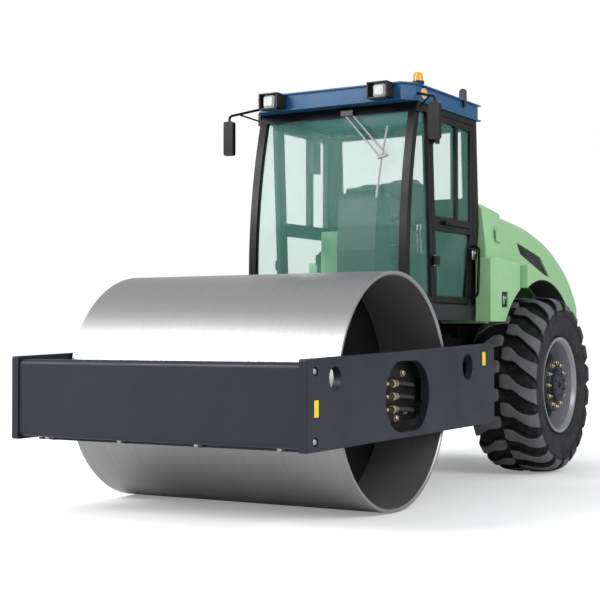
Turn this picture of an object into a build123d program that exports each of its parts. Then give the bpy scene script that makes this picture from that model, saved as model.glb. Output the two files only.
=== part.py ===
from build123d import *
import os
from math import hypot, sqrt

# Single drum road roller, articulated in the middle, with a closed cab.
# Millimetres. +X is the machine's left, +Y its rear, +Z up.
# The origin is on the ground, under the middle of the machine.

# Driving dimensions of the whole machine
WHEEL_BASE = 3037.0
FRONT_OVERHANG = 1293.0
REAR_OVERHANG = 1570.0

# Drum and the welded frame round it
DRUM_RADIUS = 800.0
DRUM_WIDTH = 2130.0
DRUM_SHELL = 25.0
DRUM_HEAD_INSET = 445.0
DRUM_SIDE_GAP = 20.0
PLATE_THICKNESS = 55.0
PLATE_TAIL = 30.0
PLATE_BOTTOM_FRONT = 485.0
PLATE_BOTTOM_REAR = 515.0
PLATE_TOP_FRONT = 1032.0
PLATE_TOP_REAR = 1112.0
BEAM_DEPTH = 140.0
BEAM_SETBACK = 13.0
BEAM_BOTTOM = 504.0
BEAM_TOP = 1013.0
HOLE_RADIUS = 233.0
HOLE_LENGTH = 650.0
DRUM_GAP = 60.0
LASHING_FRONT_RADIUS = 72.0
LASHING_REAR_RADIUS = 92.0
SHAFT_RADIUS = 120.0
RUNNING_GAP = 0.05

# Articulation: a vertical steering pin and a lengthwise swivel
SWIVEL_HEIGHT = 800.0
STEER_PIN_RADIUS = 60.0
SWIVEL_RADIUS = 90.0
ARM_REACH = 240.0
ARM_SETBACK = 40.0
CYLINDER_SPREAD = 300.0
CYLINDER_REACH = 620.0
CYLINDER_HEIGHT = 790.0
BARREL_RADIUS = 52.0
ROD_RADIUS = 28.0
EYE_RADIUS = 45.0
EYE_PIN_RADIUS = 20.0

# Rear chassis
RAIL_OUTSIDE = 460.0
RAIL_THICKNESS = 40.0
CHASSIS_BOTTOM = 590.0
CHASSIS_TOP = 1150.0
FORK_THICKNESS = 60.0
AXLE_HALF_HEIGHT = 120.0
HITCH_RADIUS = 26.0

# Tyres and rims
TYRE_RADIUS = 750.0
TYRE_WIDTH = 587.0
TYRE_OUTSIDE = 1127.0
RIM_RADIUS = 400.0
LUG_HEIGHT = 38.0
HUB_RADIUS = 140.0
SPINDLE_RADIUS = 80.0

# Cab
CAB_HALF_WIDTH = 690.0
CAB_BOTTOM = 1290.0
CAB_SILL = 1410.0
CAB_TOP = 2932.0
CAB_WALL = 45.0
CAB_BOW_RADIUS = 4500.0
CAB_BOW_HEIGHT = 1640.0
CAB_BOW_REACH = 95.0
PILLAR = 62.0
GLASS = 8.0
GLASS_INSET = 26.0
DOOR_GAP = 6.0
DOOR_THICKNESS = 45.0
DOOR_RAIL_HEIGHT = 2046.0
DOOR_HINGE_X = 709.0
ROOF_HEIGHT = 133.0
ROOF_HALF_WIDTH = 700.0
LAMP_SPREAD = 470.0
BEACON_HEIGHT = 107.0

# Green bodywork
HOOD_HALF_WIDTH = 710.0
HOOD_SKIN = 30.0
BULKHEAD_HALF_WIDTH = 750.0
FENDER_HALF_WIDTH = 950.0
SIDE_BOX_HALF_WIDTH = 895.0
ARCH_RADIUS = 900.0
HOOD_SEAM = 8.0
SIDE_BOX_LEAD = 142.0
HOOD_PIVOT_HEIGHT = 1170.0
HOOD_PIN_RADIUS = 9.0

# Places that follow from the driving dimensions
LENGTH = FRONT_OVERHANG + WHEEL_BASE + REAR_OVERHANG
FRONT = -LENGTH / 2
REAR = LENGTH / 2
DRUM_Y = FRONT + FRONT_OVERHANG
AXLE_Y = DRUM_Y + WHEEL_BASE
PIVOT_Y = DRUM_Y + WHEEL_BASE / 2
PLATE_IN = DRUM_WIDTH / 2 + DRUM_SIDE_GAP
PLATE_OUT = PLATE_IN + PLATE_THICKNESS
PLATE_REAR = PIVOT_Y - PLATE_TAIL
BEAM_FRONT = FRONT + BEAM_SETBACK
CROSS_FRONT = DRUM_Y + DRUM_RADIUS + DRUM_GAP
CROSS_REAR = CROSS_FRONT + 150
SWIVEL_REAR = PIVOT_Y - 190
SWIVEL_FRONT = PIVOT_Y - 420
CAB_FRONT = PIVOT_Y - 519
CAB_REAR = PIVOT_Y + 731
BULKHEAD_FRONT = CAB_REAR + 28
HOOD_FRONT = BULKHEAD_FRONT + 390
HOOD_PIVOT_Y = REAR - 85
DOOR_HINGE_Y = PIVOT_Y - 161.5


def yz(*points):
    """A face in the YZ plane from its corners."""
    return Plane.YZ * Polygon(*points, align=None)


def xz(*points):
    """A face in the XZ plane, facing the front."""
    return Plane.XZ * Polygon(*points, align=None)


def across(face, half_width):
    """A YZ face carried across the machine, the same each side of its middle."""
    return extrude(face, half_width, both=True)


def across_between(face, inner, outer):
    """A YZ face carried from one x to another."""
    return Pos(inner, 0, 0) * extrude(face, outer - inner, dir=(1, 0, 0))


def upright(plan, low, high):
    """A plan outline carried from one height to another."""
    return Pos(0, 0, low) * extrude(plan, high - low, dir=(0, 0, 1))


def block(x0, x1, y0, y1, z0, z1):
    """A box from its limits."""
    middle = Pos((x0 + x1) / 2, (y0 + y1) / 2, (z0 + z1) / 2)
    return middle * Box(x1 - x0, y1 - y0, z1 - z0)


def disc_x(radius, x0, x1, y, z):
    """A cylinder along X."""
    return Pos((x0 + x1) / 2, y, z) * Rot(0, 90, 0) * Cylinder(radius, abs(x1 - x0))


def disc_y(radius, y0, y1, x, z):
    """A cylinder along Y."""
    return Pos(x, (y0 + y1) / 2, z) * Rot(90, 0, 0) * Cylinder(radius, abs(y1 - y0))


def disc_z(radius, z0, z1, x, y):
    """A cylinder along Z."""
    return Pos(x, y, (z0 + z1) / 2) * Cylinder(radius, abs(z1 - z0))


def turned_about_x(y, z, *sections):
    """Sections of radius and x, each turned about an axis along X, as one solid."""
    solid = revolve(Plane.XY * sections[0], Axis.Y)
    for section in sections[1:]:
        solid += revolve(Plane.XY * section, Axis.Y)
    return Pos(0, y, z) * Rot(0, 0, -90) * solid


def bar(start, end, radius):
    """A round bar between two points."""
    line = Line(start, end)
    return sweep(Plane(start, z_dir=line % 0) * Circle(radius), path=line)


def bent_tube(points, bend, radius):
    """A round tube along straight runs with equal bends."""
    path = FilletPolyline(*points, radius=bend)
    return sweep(Plane(path @ 0, z_dir=path % 0) * Circle(radius), path=path)


def loose(*shapes):
    """Solids that share a node without touching."""
    solids = []
    for shape in shapes:
        solids.extend(shape.solids())
    return Compound(children=solids)


def write(name, shape):
    """One STEP file for one sub-part."""
    export_step(shape, f"parts/{name}.step")


# Front frame

def side_plate():
    """The left plate: oval service hole, lashing holes and sunk bolts."""
    outline = Polygon(
        (FRONT, PLATE_BOTTOM_FRONT), (PLATE_REAR, PLATE_BOTTOM_REAR),
        (PLATE_REAR, PLATE_TOP_REAR), (FRONT, PLATE_TOP_FRONT), align=None)
    rear_corners = outline.vertices().sort_by(Axis.X)[-2:]
    outline = fillet(rear_corners, 55)
    front_corners = outline.vertices().sort_by(Axis.X)[:2]
    outline = fillet(front_corners, 14)
    middle = Pos(DRUM_Y + 30, SWIVEL_HEIGHT - 30)
    outline -= middle * SlotOverall(HOLE_LENGTH, 2 * HOLE_RADIUS)
    outline -= Pos(DRUM_Y - 955, 914) * Circle(LASHING_FRONT_RADIUS)
    outline -= Pos(DRUM_Y + 1000, 944) * Circle(LASHING_REAR_RADIUS)
    plate = across_between(Plane.YZ * outline, PLATE_IN, PLATE_OUT)
    outer = plate.faces().sort_by(Axis.X)[-1]
    plate = chamfer(outer.edges(), 5)
    for height in (547, 960):
        plate -= disc_x(29, PLATE_OUT - 22, PLATE_OUT + 1, FRONT + 98, height)
    return plate


def front_beam():
    """A box beam between the plates, with large bends along its front."""
    outer = Polygon(
        (BEAM_FRONT, BEAM_BOTTOM), (BEAM_FRONT + BEAM_DEPTH, BEAM_BOTTOM),
        (BEAM_FRONT + BEAM_DEPTH, BEAM_TOP), (BEAM_FRONT, BEAM_TOP), align=None)
    outer = fillet(outer.vertices().sort_by(Axis.X)[:2], 36)
    wall = 16
    inner = Pos(BEAM_FRONT + BEAM_DEPTH / 2, (BEAM_BOTTOM + BEAM_TOP) / 2) * Rectangle(
        BEAM_DEPTH - 2 * wall, BEAM_TOP - BEAM_BOTTOM - 2 * wall)
    inner = fillet(inner.vertices().sort_by(Axis.X)[:2], 36 - wall)
    return across(Plane.YZ * (outer - inner), PLATE_IN)


def lifting_eye(x, y, z):
    """An upright plate with a rounded top and an eye."""
    shape = Pos(y, z) * Rectangle(110, 90) + Pos(y, z + 45) * Circle(55)
    shape -= Pos(y, z + 45) * Circle(27)
    return across_between(Plane.YZ * shape, x - 15, x + 15)


def cross_beam():
    """The beam behind the drum, its neck and the swivel housing."""
    bottom = CHASSIS_BOTTOM - 30
    top = BEAM_TOP - 3
    wall = 20
    middle = Pos((CROSS_FRONT + CROSS_REAR) / 2, (bottom + top) / 2)
    depth = CROSS_REAR - CROSS_FRONT
    tube = middle * Rectangle(depth, top - bottom)
    tube -= middle * Rectangle(depth - 2 * wall, top - bottom - 2 * wall)
    beam = across(Plane.YZ * tube, PLATE_IN)
    neck_half = 165
    plan = Polygon(
        (-430, CROSS_REAR - 1), (-neck_half, SWIVEL_FRONT + 130), (-neck_half, SWIVEL_REAR - 40),
        (neck_half, SWIVEL_REAR - 40), (neck_half, SWIVEL_FRONT + 130), (430, CROSS_REAR - 1),
        align=None)
    neck = upright(plan, SWIVEL_HEIGHT - neck_half, SWIVEL_HEIGHT + neck_half)
    hollow = Polygon(
        (-380, CROSS_REAR - 2), (-130, SWIVEL_FRONT - 5), (130, SWIVEL_FRONT - 5),
        (380, CROSS_REAR - 2), align=None)
    neck -= upright(hollow, SWIVEL_HEIGHT - neck_half + 30, SWIVEL_HEIGHT + neck_half - 30)
    housing = disc_y(175, SWIVEL_FRONT, SWIVEL_REAR, 0, SWIVEL_HEIGHT)
    bore = disc_y(SWIVEL_RADIUS + RUNNING_GAP, SWIVEL_FRONT - 90, SWIVEL_REAR + 10, 0, SWIVEL_HEIGHT)
    beam = beam + neck + housing - bore
    for x in (-820, 820):
        beam += lifting_eye(x, CROSS_FRONT + 90, top + 25)
    return beam


def drum_carrier():
    """The left carrier: plate on rubber buffers, with the shaft into the drum."""
    x0 = PLATE_IN - 60
    face = Pos(DRUM_Y, DRUM_RADIUS) * Rectangle(900, 400)
    face = fillet(face.vertices(), 120)
    carrier = across_between(Plane.YZ * face, x0 - 30, x0)
    for dy in (-380, 380):
        for dz in (-130, 130):
            carrier += disc_x(55, x0, PLATE_IN, DRUM_Y + dy, DRUM_RADIUS + dz)
    head = DRUM_WIDTH / 2 - DRUM_HEAD_INSET
    carrier += disc_x(190, head + 130, x0 - 30, DRUM_Y, DRUM_RADIUS)
    carrier += disc_x(SHAFT_RADIUS, head + 20, head + 130, DRUM_Y, DRUM_RADIUS)
    return carrier


def scraper(face_sign):
    """A scraper blade with its brackets; -1 is in front of the drum, 1 behind."""
    tip_z = 470
    gap = 14
    tip = DRUM_Y + face_sign * sqrt((DRUM_RADIUS + gap) ** 2 - (DRUM_RADIUS - tip_z) ** 2)
    back_z = 548
    if face_sign > 0:
        back = CROSS_FRONT + 30
        hang = CROSS_FRONT + 60
        root_z = CHASSIS_BOTTOM - 30
    else:
        back = BEAM_FRONT + BEAM_DEPTH - 10
        hang = back - 30
        root_z = BEAM_BOTTOM
        back_z = root_z - 12
    blade = yz((tip, tip_z), (back, back_z - 12), (back, back_z), (tip, tip_z + 12))
    body = across(blade, DRUM_WIDTH / 2 - 40)
    low = back - face_sign * 60
    for x in (-900, -300, 300, 900):
        rib = yz((low, back_z - 14), (back, back_z - 14), (hang, root_z), (low, root_z))
        body += across_between(rib, x - 15, x + 15)
    return body


# Drum

def drum_shell():
    """The rolled shell of the drum."""
    ring = Circle(DRUM_RADIUS) - Circle(DRUM_RADIUS - DRUM_SHELL)
    shell = Plane((0, DRUM_Y, DRUM_RADIUS), x_dir=(0, 1, 0), z_dir=(1, 0, 0)) * ring
    shell = extrude(shell, DRUM_WIDTH / 2, both=True)
    inner = shell.edges().filter_by(GeomType.CIRCLE).group_by(SortBy.RADIUS)[0]
    return chamfer(inner, 8)


def drum_head():
    """The left head: a dished disc with a hub that turns on the carrier's shaft."""
    head = DRUM_WIDTH / 2 - DRUM_HEAD_INSET
    inside = DRUM_RADIUS - DRUM_SHELL
    section = Polygon(
        (SHAFT_RADIUS + RUNNING_GAP, head), (230, head), (300, head - 40), (inside, head - 60),
        (inside, head - 85), (290, head - 66), (230, head - 40), (0, head - 40),
        (0, head - 20), (SHAFT_RADIUS + RUNNING_GAP, head - 20), align=None)
    hub = Polygon(
        (SHAFT_RADIUS + RUNNING_GAP, head - 5), (215, head - 5), (205, head + 115),
        (SHAFT_RADIUS + RUNNING_GAP, head + 115), align=None)
    return turned_about_x(DRUM_Y, DRUM_RADIUS, section, hub)


# Articulation yoke

def yoke():
    """The link between the halves: swivel shaft, steering eye and steering arms."""
    low = CHASSIS_BOTTOM + FORK_THICKNESS + 5
    high = 2 * SWIVEL_HEIGHT - low
    body = disc_z(118, low, high, 0, PIVOT_Y)
    body += block(-105, 105, SWIVEL_REAR + 25, PIVOT_Y, low, high)
    body += disc_y(145, SWIVEL_REAR + 5, SWIVEL_REAR + 30, 0, SWIVEL_HEIGHT)
    body += disc_y(SWIVEL_RADIUS, SWIVEL_FRONT - 40, SWIVEL_REAR + 10, 0, SWIVEL_HEIGHT)
    body += disc_y(112, SWIVEL_FRONT - 38, SWIVEL_FRONT - 5, 0, SWIVEL_HEIGHT)
    arm_y = PIVOT_Y - ARM_SETBACK
    arm_top = CYLINDER_HEIGHT - BARREL_RADIUS - 8
    arms = Polygon((-ARM_REACH, arm_y - 50), (ARM_REACH, arm_y - 50), (ARM_REACH, arm_y + 50),
                   (100, arm_y + 90), (-100, arm_y + 90), (-ARM_REACH, arm_y + 50), align=None)
    for x in (-ARM_REACH, ARM_REACH):
        arms += Pos(x, arm_y) * Circle(50)
    body += upright(arms, arm_top - 40, arm_top)
    return body - disc_z(STEER_PIN_RADIUS + RUNNING_GAP, low - 5, high + 5, 0, PIVOT_Y)


# Steering cylinders, drawn for the left side

def cylinder_line():
    """The two pin centres of the left cylinder, and the length between them."""
    anchor = (CYLINDER_SPREAD, PIVOT_Y + CYLINDER_REACH)
    eye = (ARM_REACH, PIVOT_Y - ARM_SETBACK)
    return anchor, eye, hypot(anchor[0] - eye[0], anchor[1] - eye[1])


def cylinder_frame():
    """A plane at the anchor pin whose x axis runs along the cylinder."""
    anchor, eye, length = cylinder_line()
    along = ((eye[0] - anchor[0]) / length, (eye[1] - anchor[1]) / length, 0)
    return Plane((anchor[0], anchor[1], CYLINDER_HEIGHT), x_dir=along, z_dir=(0, 0, 1))


def turned_rod(radius, x0, x1):
    """A round bar along the cylinder's own x axis."""
    return Pos((x0 + x1) / 2, 0, 0) * Rot(0, 90, 0) * Cylinder(radius, x1 - x0)


def steer_barrel():
    """Barrel with its rear eye and a gland where the rod comes out."""
    body = turned_rod(BARREL_RADIUS, 60, 430)
    body += Cylinder(EYE_RADIUS, 2 * EYE_RADIUS)
    body += turned_rod(34, 20, 80)
    body -= turned_rod(BARREL_RADIUS - 10, 85, 392)
    body -= turned_rod(ROD_RADIUS + 0.3, 300, 440)
    body -= Cylinder(EYE_PIN_RADIUS + RUNNING_GAP, 2 * EYE_RADIUS + 10)
    return cylinder_frame() * body


def steer_rod():
    """Rod with its eye over the yoke's arm and the pin head that holds it."""
    length = cylinder_line()[2]
    body = turned_rod(ROD_RADIUS, length - 420, length - 20)
    body += Pos(length, 0, 0) * Cylinder(EYE_RADIUS, 2 * EYE_RADIUS)
    body += Pos(length, 0, EYE_RADIUS + 6) * Cylinder(30, 14)
    return cylinder_frame() * body


# Rear chassis

def chassis():
    """Fork, rails, cross members, cab deck and the fixed steering pin."""
    fork_low = CHASSIS_BOTTOM
    fork_high = 2 * SWIVEL_HEIGHT - CHASSIS_BOTTOM - FORK_THICKNESS
    rail_front = PIVOT_Y + 330
    plan = Polygon((-112, PIVOT_Y), (112, PIVOT_Y), (RAIL_OUTSIDE, rail_front),
                   (RAIL_OUTSIDE, rail_front + 450), (-RAIL_OUTSIDE, rail_front + 450),
                   (-RAIL_OUTSIDE, rail_front), align=None)
    plan += Pos(0, PIVOT_Y) * Circle(112)
    body = upright(plan, fork_low, fork_low + FORK_THICKNESS)
    body += upright(plan, fork_high, fork_high + FORK_THICKNESS)
    body += disc_z(STEER_PIN_RADIUS, fork_low - 20, fork_high + FORK_THICKNESS + 30, 0, PIVOT_Y)
    body += disc_z(85, fork_high + FORK_THICKNESS, fork_high + FORK_THICKNESS + 22, 0, PIVOT_Y)
    axle_top = TYRE_RADIUS + AXLE_HALF_HEIGHT
    rail = Polygon(
        (rail_front, fork_low), (rail_front + 800, fork_low), (AXLE_Y - 230, axle_top),
        (AXLE_Y + 230, axle_top), (AXLE_Y + 420, 640), (REAR - 420, 640), (REAR - 420, CHASSIS_TOP),
        (rail_front + 250, CHASSIS_TOP), (rail_front, fork_high + FORK_THICKNESS), align=None)
    rail = fillet(rail.vertices().sort_by(Axis.X)[2:6], 60)
    for x in (-RAIL_OUTSIDE, RAIL_OUTSIDE - RAIL_THICKNESS):
        body += across_between(Plane.YZ * rail, x, x + RAIL_THICKNESS)
    inner = RAIL_OUTSIDE - RAIL_THICKNESS
    anchor_y = PIVOT_Y + CYLINDER_REACH
    body += block(-inner, inner, anchor_y + 70, anchor_y + 100, fork_low, CHASSIS_TOP)
    body += block(-inner, inner, AXLE_Y - 60, AXLE_Y + 60, CHASSIS_TOP - 160, CHASSIS_TOP - 40)
    body += block(-inner, inner, AXLE_Y + 520, AXLE_Y + 620, CHASSIS_TOP - 160, CHASSIS_TOP - 40)
    deck_front = PIVOT_Y - 300
    deck_rear = rail_front + 420
    body += block(-430, 430, deck_front, deck_rear, CHASSIS_TOP, CHASSIS_TOP + 30)
    body += block(-60, 60, PIVOT_Y + 330, anchor_y + 72, CHASSIS_TOP - 80, CHASSIS_TOP)
    for x in (-330, 330):
        rib = yz((deck_front, CHASSIS_TOP), (deck_front, CHASSIS_TOP - 30),
                 (rail_front, fork_high + FORK_THICKNESS - 5), (rail_front + 240, CHASSIS_TOP))
        body += across_between(rib, x - 15, x + 15)
        for y in (deck_front + 80, deck_rear - 90):
            body += disc_z(48, CHASSIS_TOP + 30, CAB_BOTTOM, x, y)
    for x in (-CYLINDER_SPREAD, CYLINDER_SPREAD):
        for z in (CYLINDER_HEIGHT - EYE_RADIUS - 29, CYLINDER_HEIGHT + EYE_RADIUS + 4):
            body += block(x - 45, x + 45, anchor_y, anchor_y + 75, z, z + 25)
            body += disc_z(45, z, z + 25, x, anchor_y)
        body += disc_z(EYE_PIN_RADIUS, CYLINDER_HEIGHT - 78, CYLINDER_HEIGHT + 78, x, anchor_y)
    return body


def rear_axle():
    """Axle beam with a round differential housing and stepped wheel spindles."""
    half = AXLE_HALF_HEIGHT
    beam = block(-520, 520, AXLE_Y - half, AXLE_Y + half, TYRE_RADIUS - half, TYRE_RADIUS + half)
    beam = fillet(beam.edges().filter_by(Axis.X), 40)
    section = Polygon((0, -210), (150, -180), (230, -90), (230, 90), (150, 180), (0, 210), align=None)
    casing = Pos(0, AXLE_Y, TYRE_RADIUS - 20) * Rot(0, 90, 0) * revolve(Plane.XZ * section, Axis.Z)
    casing -= block(-260, 260, AXLE_Y - 240, AXLE_Y + 240, TYRE_RADIUS + half, TYRE_RADIUS + 300)
    beam += casing
    for sign in (-1, 1):
        beam += disc_x(165, sign * 480, sign * 770, AXLE_Y, TYRE_RADIUS)
        beam += disc_x(SPINDLE_RADIUS, sign * 760, sign * 860, AXLE_Y, TYRE_RADIUS)
    return beam


def engine():
    """The engine and its radiator as one plain block."""
    front = HOOD_FRONT + 120
    return block(-330, 330, front, front + 1150, CHASSIS_TOP - 40, CHASSIS_TOP + 610)


def counterweight():
    """The cast block at the rear, with side steps and a towing jaw."""
    front = REAR - 480
    top = HOOD_PIVOT_HEIGHT - 80
    side = yz((front, 660), (REAR - 260, 600), (REAR - 30, 600), (REAR, 630), (REAR, top - 40),
              (REAR - 40, top), (front, top))
    body = across(side, 760)
    body = body - block(-RAIL_OUTSIDE, RAIL_OUTSIDE, front - 1, REAR - 420, 500, top + 1)
    plan = Polygon((-760, front), (760, front), (760, REAR - 150), (640, REAR),
                   (-640, REAR), (-760, REAR - 150), align=None)
    body = body & upright(plan, 400, 1400)
    body -= block(-110, 110, REAR - 170, REAR + 10, 740, 840)
    body -= disc_z(HITCH_RADIUS, 550, 841, 0, REAR - 85)
    body -= disc_z(HITCH_RADIUS, 739, top + 1, 0, REAR - 85)
    for x in (-340, -260, 260, 340):
        body += block(x - 10, x + 10, HOOD_PIVOT_Y - 18, HOOD_PIVOT_Y + 10, top - 5,
                      HOOD_PIVOT_HEIGHT)
        body += disc_x(18, x - 10, x + 10, HOOD_PIVOT_Y, HOOD_PIVOT_HEIGHT)
        body -= disc_x(HOOD_PIN_RADIUS + RUNNING_GAP, x - 11, x + 11, HOOD_PIVOT_Y,
                       HOOD_PIVOT_HEIGHT)
    return body


# Cab

def bow(z):
    """How far back the bowed front of the cab is at a height."""
    drop = CAB_BOW_RADIUS - sqrt(CAB_BOW_RADIUS ** 2 - (z - CAB_BOW_HEIGHT) ** 2)
    return CAB_FRONT - CAB_BOW_REACH + drop


def cab_outline(inset):
    """Side view of the cab, with a bowed front, moved inwards by the inset."""
    middle = (CAB_SILL + CAB_TOP) / 2
    front = ThreePointArc((bow(CAB_SILL), CAB_SILL), (bow(middle), middle), (bow(CAB_TOP), CAB_TOP))
    edges = [
        front,
        Line(front @ 1, (CAB_REAR - 45, CAB_TOP)),
        Line((CAB_REAR - 45, CAB_TOP), (CAB_REAR, CAB_SILL + 660)),
        Line((CAB_REAR, CAB_SILL + 660), (CAB_REAR - 95, CAB_SILL)),
        Line((CAB_REAR - 95, CAB_SILL), front @ 0)]
    face = make_face(edges)
    if inset > 0:
        face = offset(face, -inset, kind=Kind.INTERSECTION)
    return Plane.YZ * face


def b_post(z):
    """Front edge of the post between front side window and door, at a height."""
    return CAB_FRONT + 344 - 83 * (z - CAB_SILL) / (CAB_TOP - 32 - CAB_SILL)


def door_outline(inset):
    """The door opening, moved inwards by the inset."""
    low = CAB_SILL + 10
    high = CAB_TOP - 48
    face = Polygon(
        (b_post(low) + 45, low), (CAB_REAR - 240, low), (CAB_REAR - 118, DOOR_RAIL_HEIGHT),
        (CAB_REAR - 114, high), (b_post(high) + 45, high), align=None)
    if inset > 0:
        face = offset(face, -inset, kind=Kind.INTERSECTION)
    return Plane.YZ * face


def front_side_window():
    """The fixed side window between the front pillar and the door post."""
    pane = cab_outline(PILLAR)
    low = CAB_SILL + 60
    high = CAB_TOP - 62
    limit = yz((CAB_FRONT - 300, low), (b_post(low), low), (b_post(high), high),
               (CAB_FRONT - 300, high))
    return pane & limit


def windscreen_space():
    """The opening in the front of the cab."""
    return block(-CAB_HALF_WIDTH + PILLAR, CAB_HALF_WIDTH - PILLAR, CAB_FRONT - 200,
                 CAB_FRONT + 150, CAB_SILL + 45, CAB_TOP - 72)


def rear_window_space():
    """The opening in the rear wall, above the bodywork."""
    return block(-CAB_HALF_WIDTH + 120, CAB_HALF_WIDTH - 120, CAB_REAR - 130, CAB_REAR + 50,
                 CAB_SILL + 890, CAB_TOP - 82)


def cab_frame():
    """Pillars, rails and the lower rear wall, as one welded frame."""
    shell = across(cab_outline(0), CAB_HALF_WIDTH)
    shell -= across(cab_outline(CAB_WALL), CAB_HALF_WIDTH - CAB_WALL)
    shell -= across(front_side_window(), CAB_HALF_WIDTH + 10)
    shell -= across(door_outline(0), CAB_HALF_WIDTH + 10)
    shell -= windscreen_space()
    shell -= rear_window_space()
    inner = CAB_HALF_WIDTH - 90
    shell -= block(-inner, inner, CAB_FRONT + 40, CAB_REAR - 170, CAB_SILL - 10, CAB_SILL + 60)
    shell -= block(-inner, inner, CAB_FRONT + 200, CAB_REAR - 130, CAB_TOP - 60, CAB_TOP + 10)
    return shell


def cab_floor():
    """The tray under the cab frame, with a deep outer rail."""
    rail = yz((CAB_FRONT, CAB_BOTTOM), (CAB_REAR - 95, CAB_BOTTOM), (CAB_REAR - 95, CAB_SILL),
              (bow(CAB_SILL), CAB_SILL))
    tray = across(rail, CAB_HALF_WIDTH)
    tray = fillet(tray.edges().filter_by(Axis.X).group_by(Axis.Z)[0], 12)
    return tray - block(-CAB_HALF_WIDTH + 70, CAB_HALF_WIDTH - 70, CAB_FRONT + 35, CAB_REAR - 180,
                        CAB_BOTTOM + 50, CAB_SILL + 10)


def cab_glass():
    """Windscreen, front side windows and rear window."""
    skin = across(cab_outline(GLASS_INSET), CAB_HALF_WIDTH - PILLAR)
    skin -= across(cab_outline(GLASS_INSET + GLASS), CAB_HALF_WIDTH)
    screen = skin & windscreen_space()
    rear = skin & rear_window_space()
    left = CAB_HALF_WIDTH - GLASS_INSET
    side = across_between(front_side_window(), left - GLASS, left)
    return loose(screen, rear, side, mirror(side, about=Plane.YZ))


def door_panes():
    """The three window openings of the door, as faces."""
    divider = CAB_REAR - 435
    inner = door_outline(DOOR_GAP + 50)
    low = CAB_SILL
    rail_low = DOOR_RAIL_HEIGHT - 60
    rail_high = DOOR_RAIL_HEIGHT + 45
    far = CAB_REAR + 100
    near = CAB_FRONT
    upper_front = inner & yz((near, rail_high), (divider - 25, rail_high), (divider - 25, CAB_TOP),
                             (near, CAB_TOP))
    upper_rear = inner & yz((divider + 25, rail_high), (far, rail_high), (far, CAB_TOP),
                            (divider + 25, CAB_TOP))
    lower = inner & yz((near, low), (far, low), (far, rail_low), (near, rail_low))
    return [upper_front, upper_rear, lower]


def door_frame():
    """The left door, flush with the side of the cab, with hinges and latch."""
    inner = CAB_HALF_WIDTH - DOOR_THICKNESS
    door = across_between(door_outline(DOOR_GAP), inner, CAB_HALF_WIDTH)
    for pane in door_panes():
        door -= across_between(pane, inner - 5, CAB_HALF_WIDTH + 5)
    x = CAB_HALF_WIDTH
    for z in (CAB_SILL + 335, CAB_TOP - 250):
        near = max(b_post(z) + 45 + DOOR_GAP + 3, DOOR_HINGE_Y - 20)
        door += block(x - 1, x + 30, near, DOOR_HINGE_Y + 75, z - 35, z + 35)
        door += block(DOOR_HINGE_X - 12, DOOR_HINGE_X + 11, DOOR_HINGE_Y,
                      max(near, DOOR_HINGE_Y) + 8, z - 35, z + 35)
        door += disc_z(14, z - 35, z + 35, DOOR_HINGE_X, DOOR_HINGE_Y)
    rail = CAB_REAR - 150
    door += block(x - 1, x + 30, rail - 560, rail - 20, DOOR_RAIL_HEIGHT - 12, DOOR_RAIL_HEIGHT + 12)
    door += block(x - 1, x + 34, CAB_REAR - 235, CAB_REAR - 185, DOOR_RAIL_HEIGHT - 270,
                  DOOR_RAIL_HEIGHT - 180)
    return door


def door_glass():
    """The three panes of the left door."""
    outer = CAB_HALF_WIDTH - 18
    return loose(*[across_between(pane, outer - GLASS, outer) for pane in door_panes()])


def roof():
    """The roof cap: chamfered front corners, and lips along its edges."""
    front = CAB_FRONT - 38
    rear = CAB_REAR + 3
    half = ROOF_HALF_WIDTH

    def plan(grow):
        """Plan outline of the cap, grown on all sides."""
        outline = Polygon(
            (-half + 80 - grow / 2, front - grow), (half - 80 + grow / 2, front - grow),
            (half + grow, front + 110 - grow / 2), (half + grow, rear + grow),
            (-half - grow, rear + grow), (-half - grow, front + 110 - grow / 2), align=None)
        return outline

    base = CAB_TOP
    cap = upright(plan(-12), base, base + ROOF_HEIGHT)
    cap += upright(plan(8), base, base + 10)
    cap += upright(plan(8), base + ROOF_HEIGHT - 10, base + ROOF_HEIGHT)
    for sign in (-1, 1):
        x = sign * LAMP_SPREAD
        cap -= block(x - 84, x + 84, front - 30, front + 90, base + 14, base + ROOF_HEIGHT - 14)
    return cap


def lamp_housing(x):
    """A square black bucket with an open front, set in the roof."""
    front = CAB_FRONT - 38
    z = CAB_TOP + ROOF_HEIGHT / 2
    high = ROOF_HEIGHT / 2 - 14
    housing = block(x - 84, x + 84, front - 26, front + 88, z - high, z + high)
    return housing - block(x - 74, x + 74, front - 40, front + 50, z - high + 9, z + high - 9)


def roof_lamps():
    """Work lamp housings at both front corners and the arms of the marker lamps."""
    return loose(lamp_housing(LAMP_SPREAD), lamp_housing(-LAMP_SPREAD))


def lamp_lens(x):
    """A domed square lens seated in the lamp housing."""
    front = CAB_FRONT + 12
    z = CAB_TOP + ROOF_HEIGHT / 2
    lens = block(x - 50, x + 50, front - 22, front, z - 42, z + 42)
    return fillet(lens.edges().filter_by(Axis.Y), 14)


def lamp_lenses():
    """Both work lamp lenses."""
    return loose(lamp_lens(LAMP_SPREAD), lamp_lens(-LAMP_SPREAD))


def side_indicators():
    """Round indicators, one on each side of the roof."""
    y = CAB_FRONT + 200
    z = CAB_TOP + ROOF_HEIGHT / 2 + 4
    x = ROOF_HALF_WIDTH - 12
    left = disc_x(40, x, x + 22, y, z)
    left += disc_x(30, x + 22, x + 34, y, z)
    return loose(left, mirror(left, about=Plane.YZ))


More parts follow.
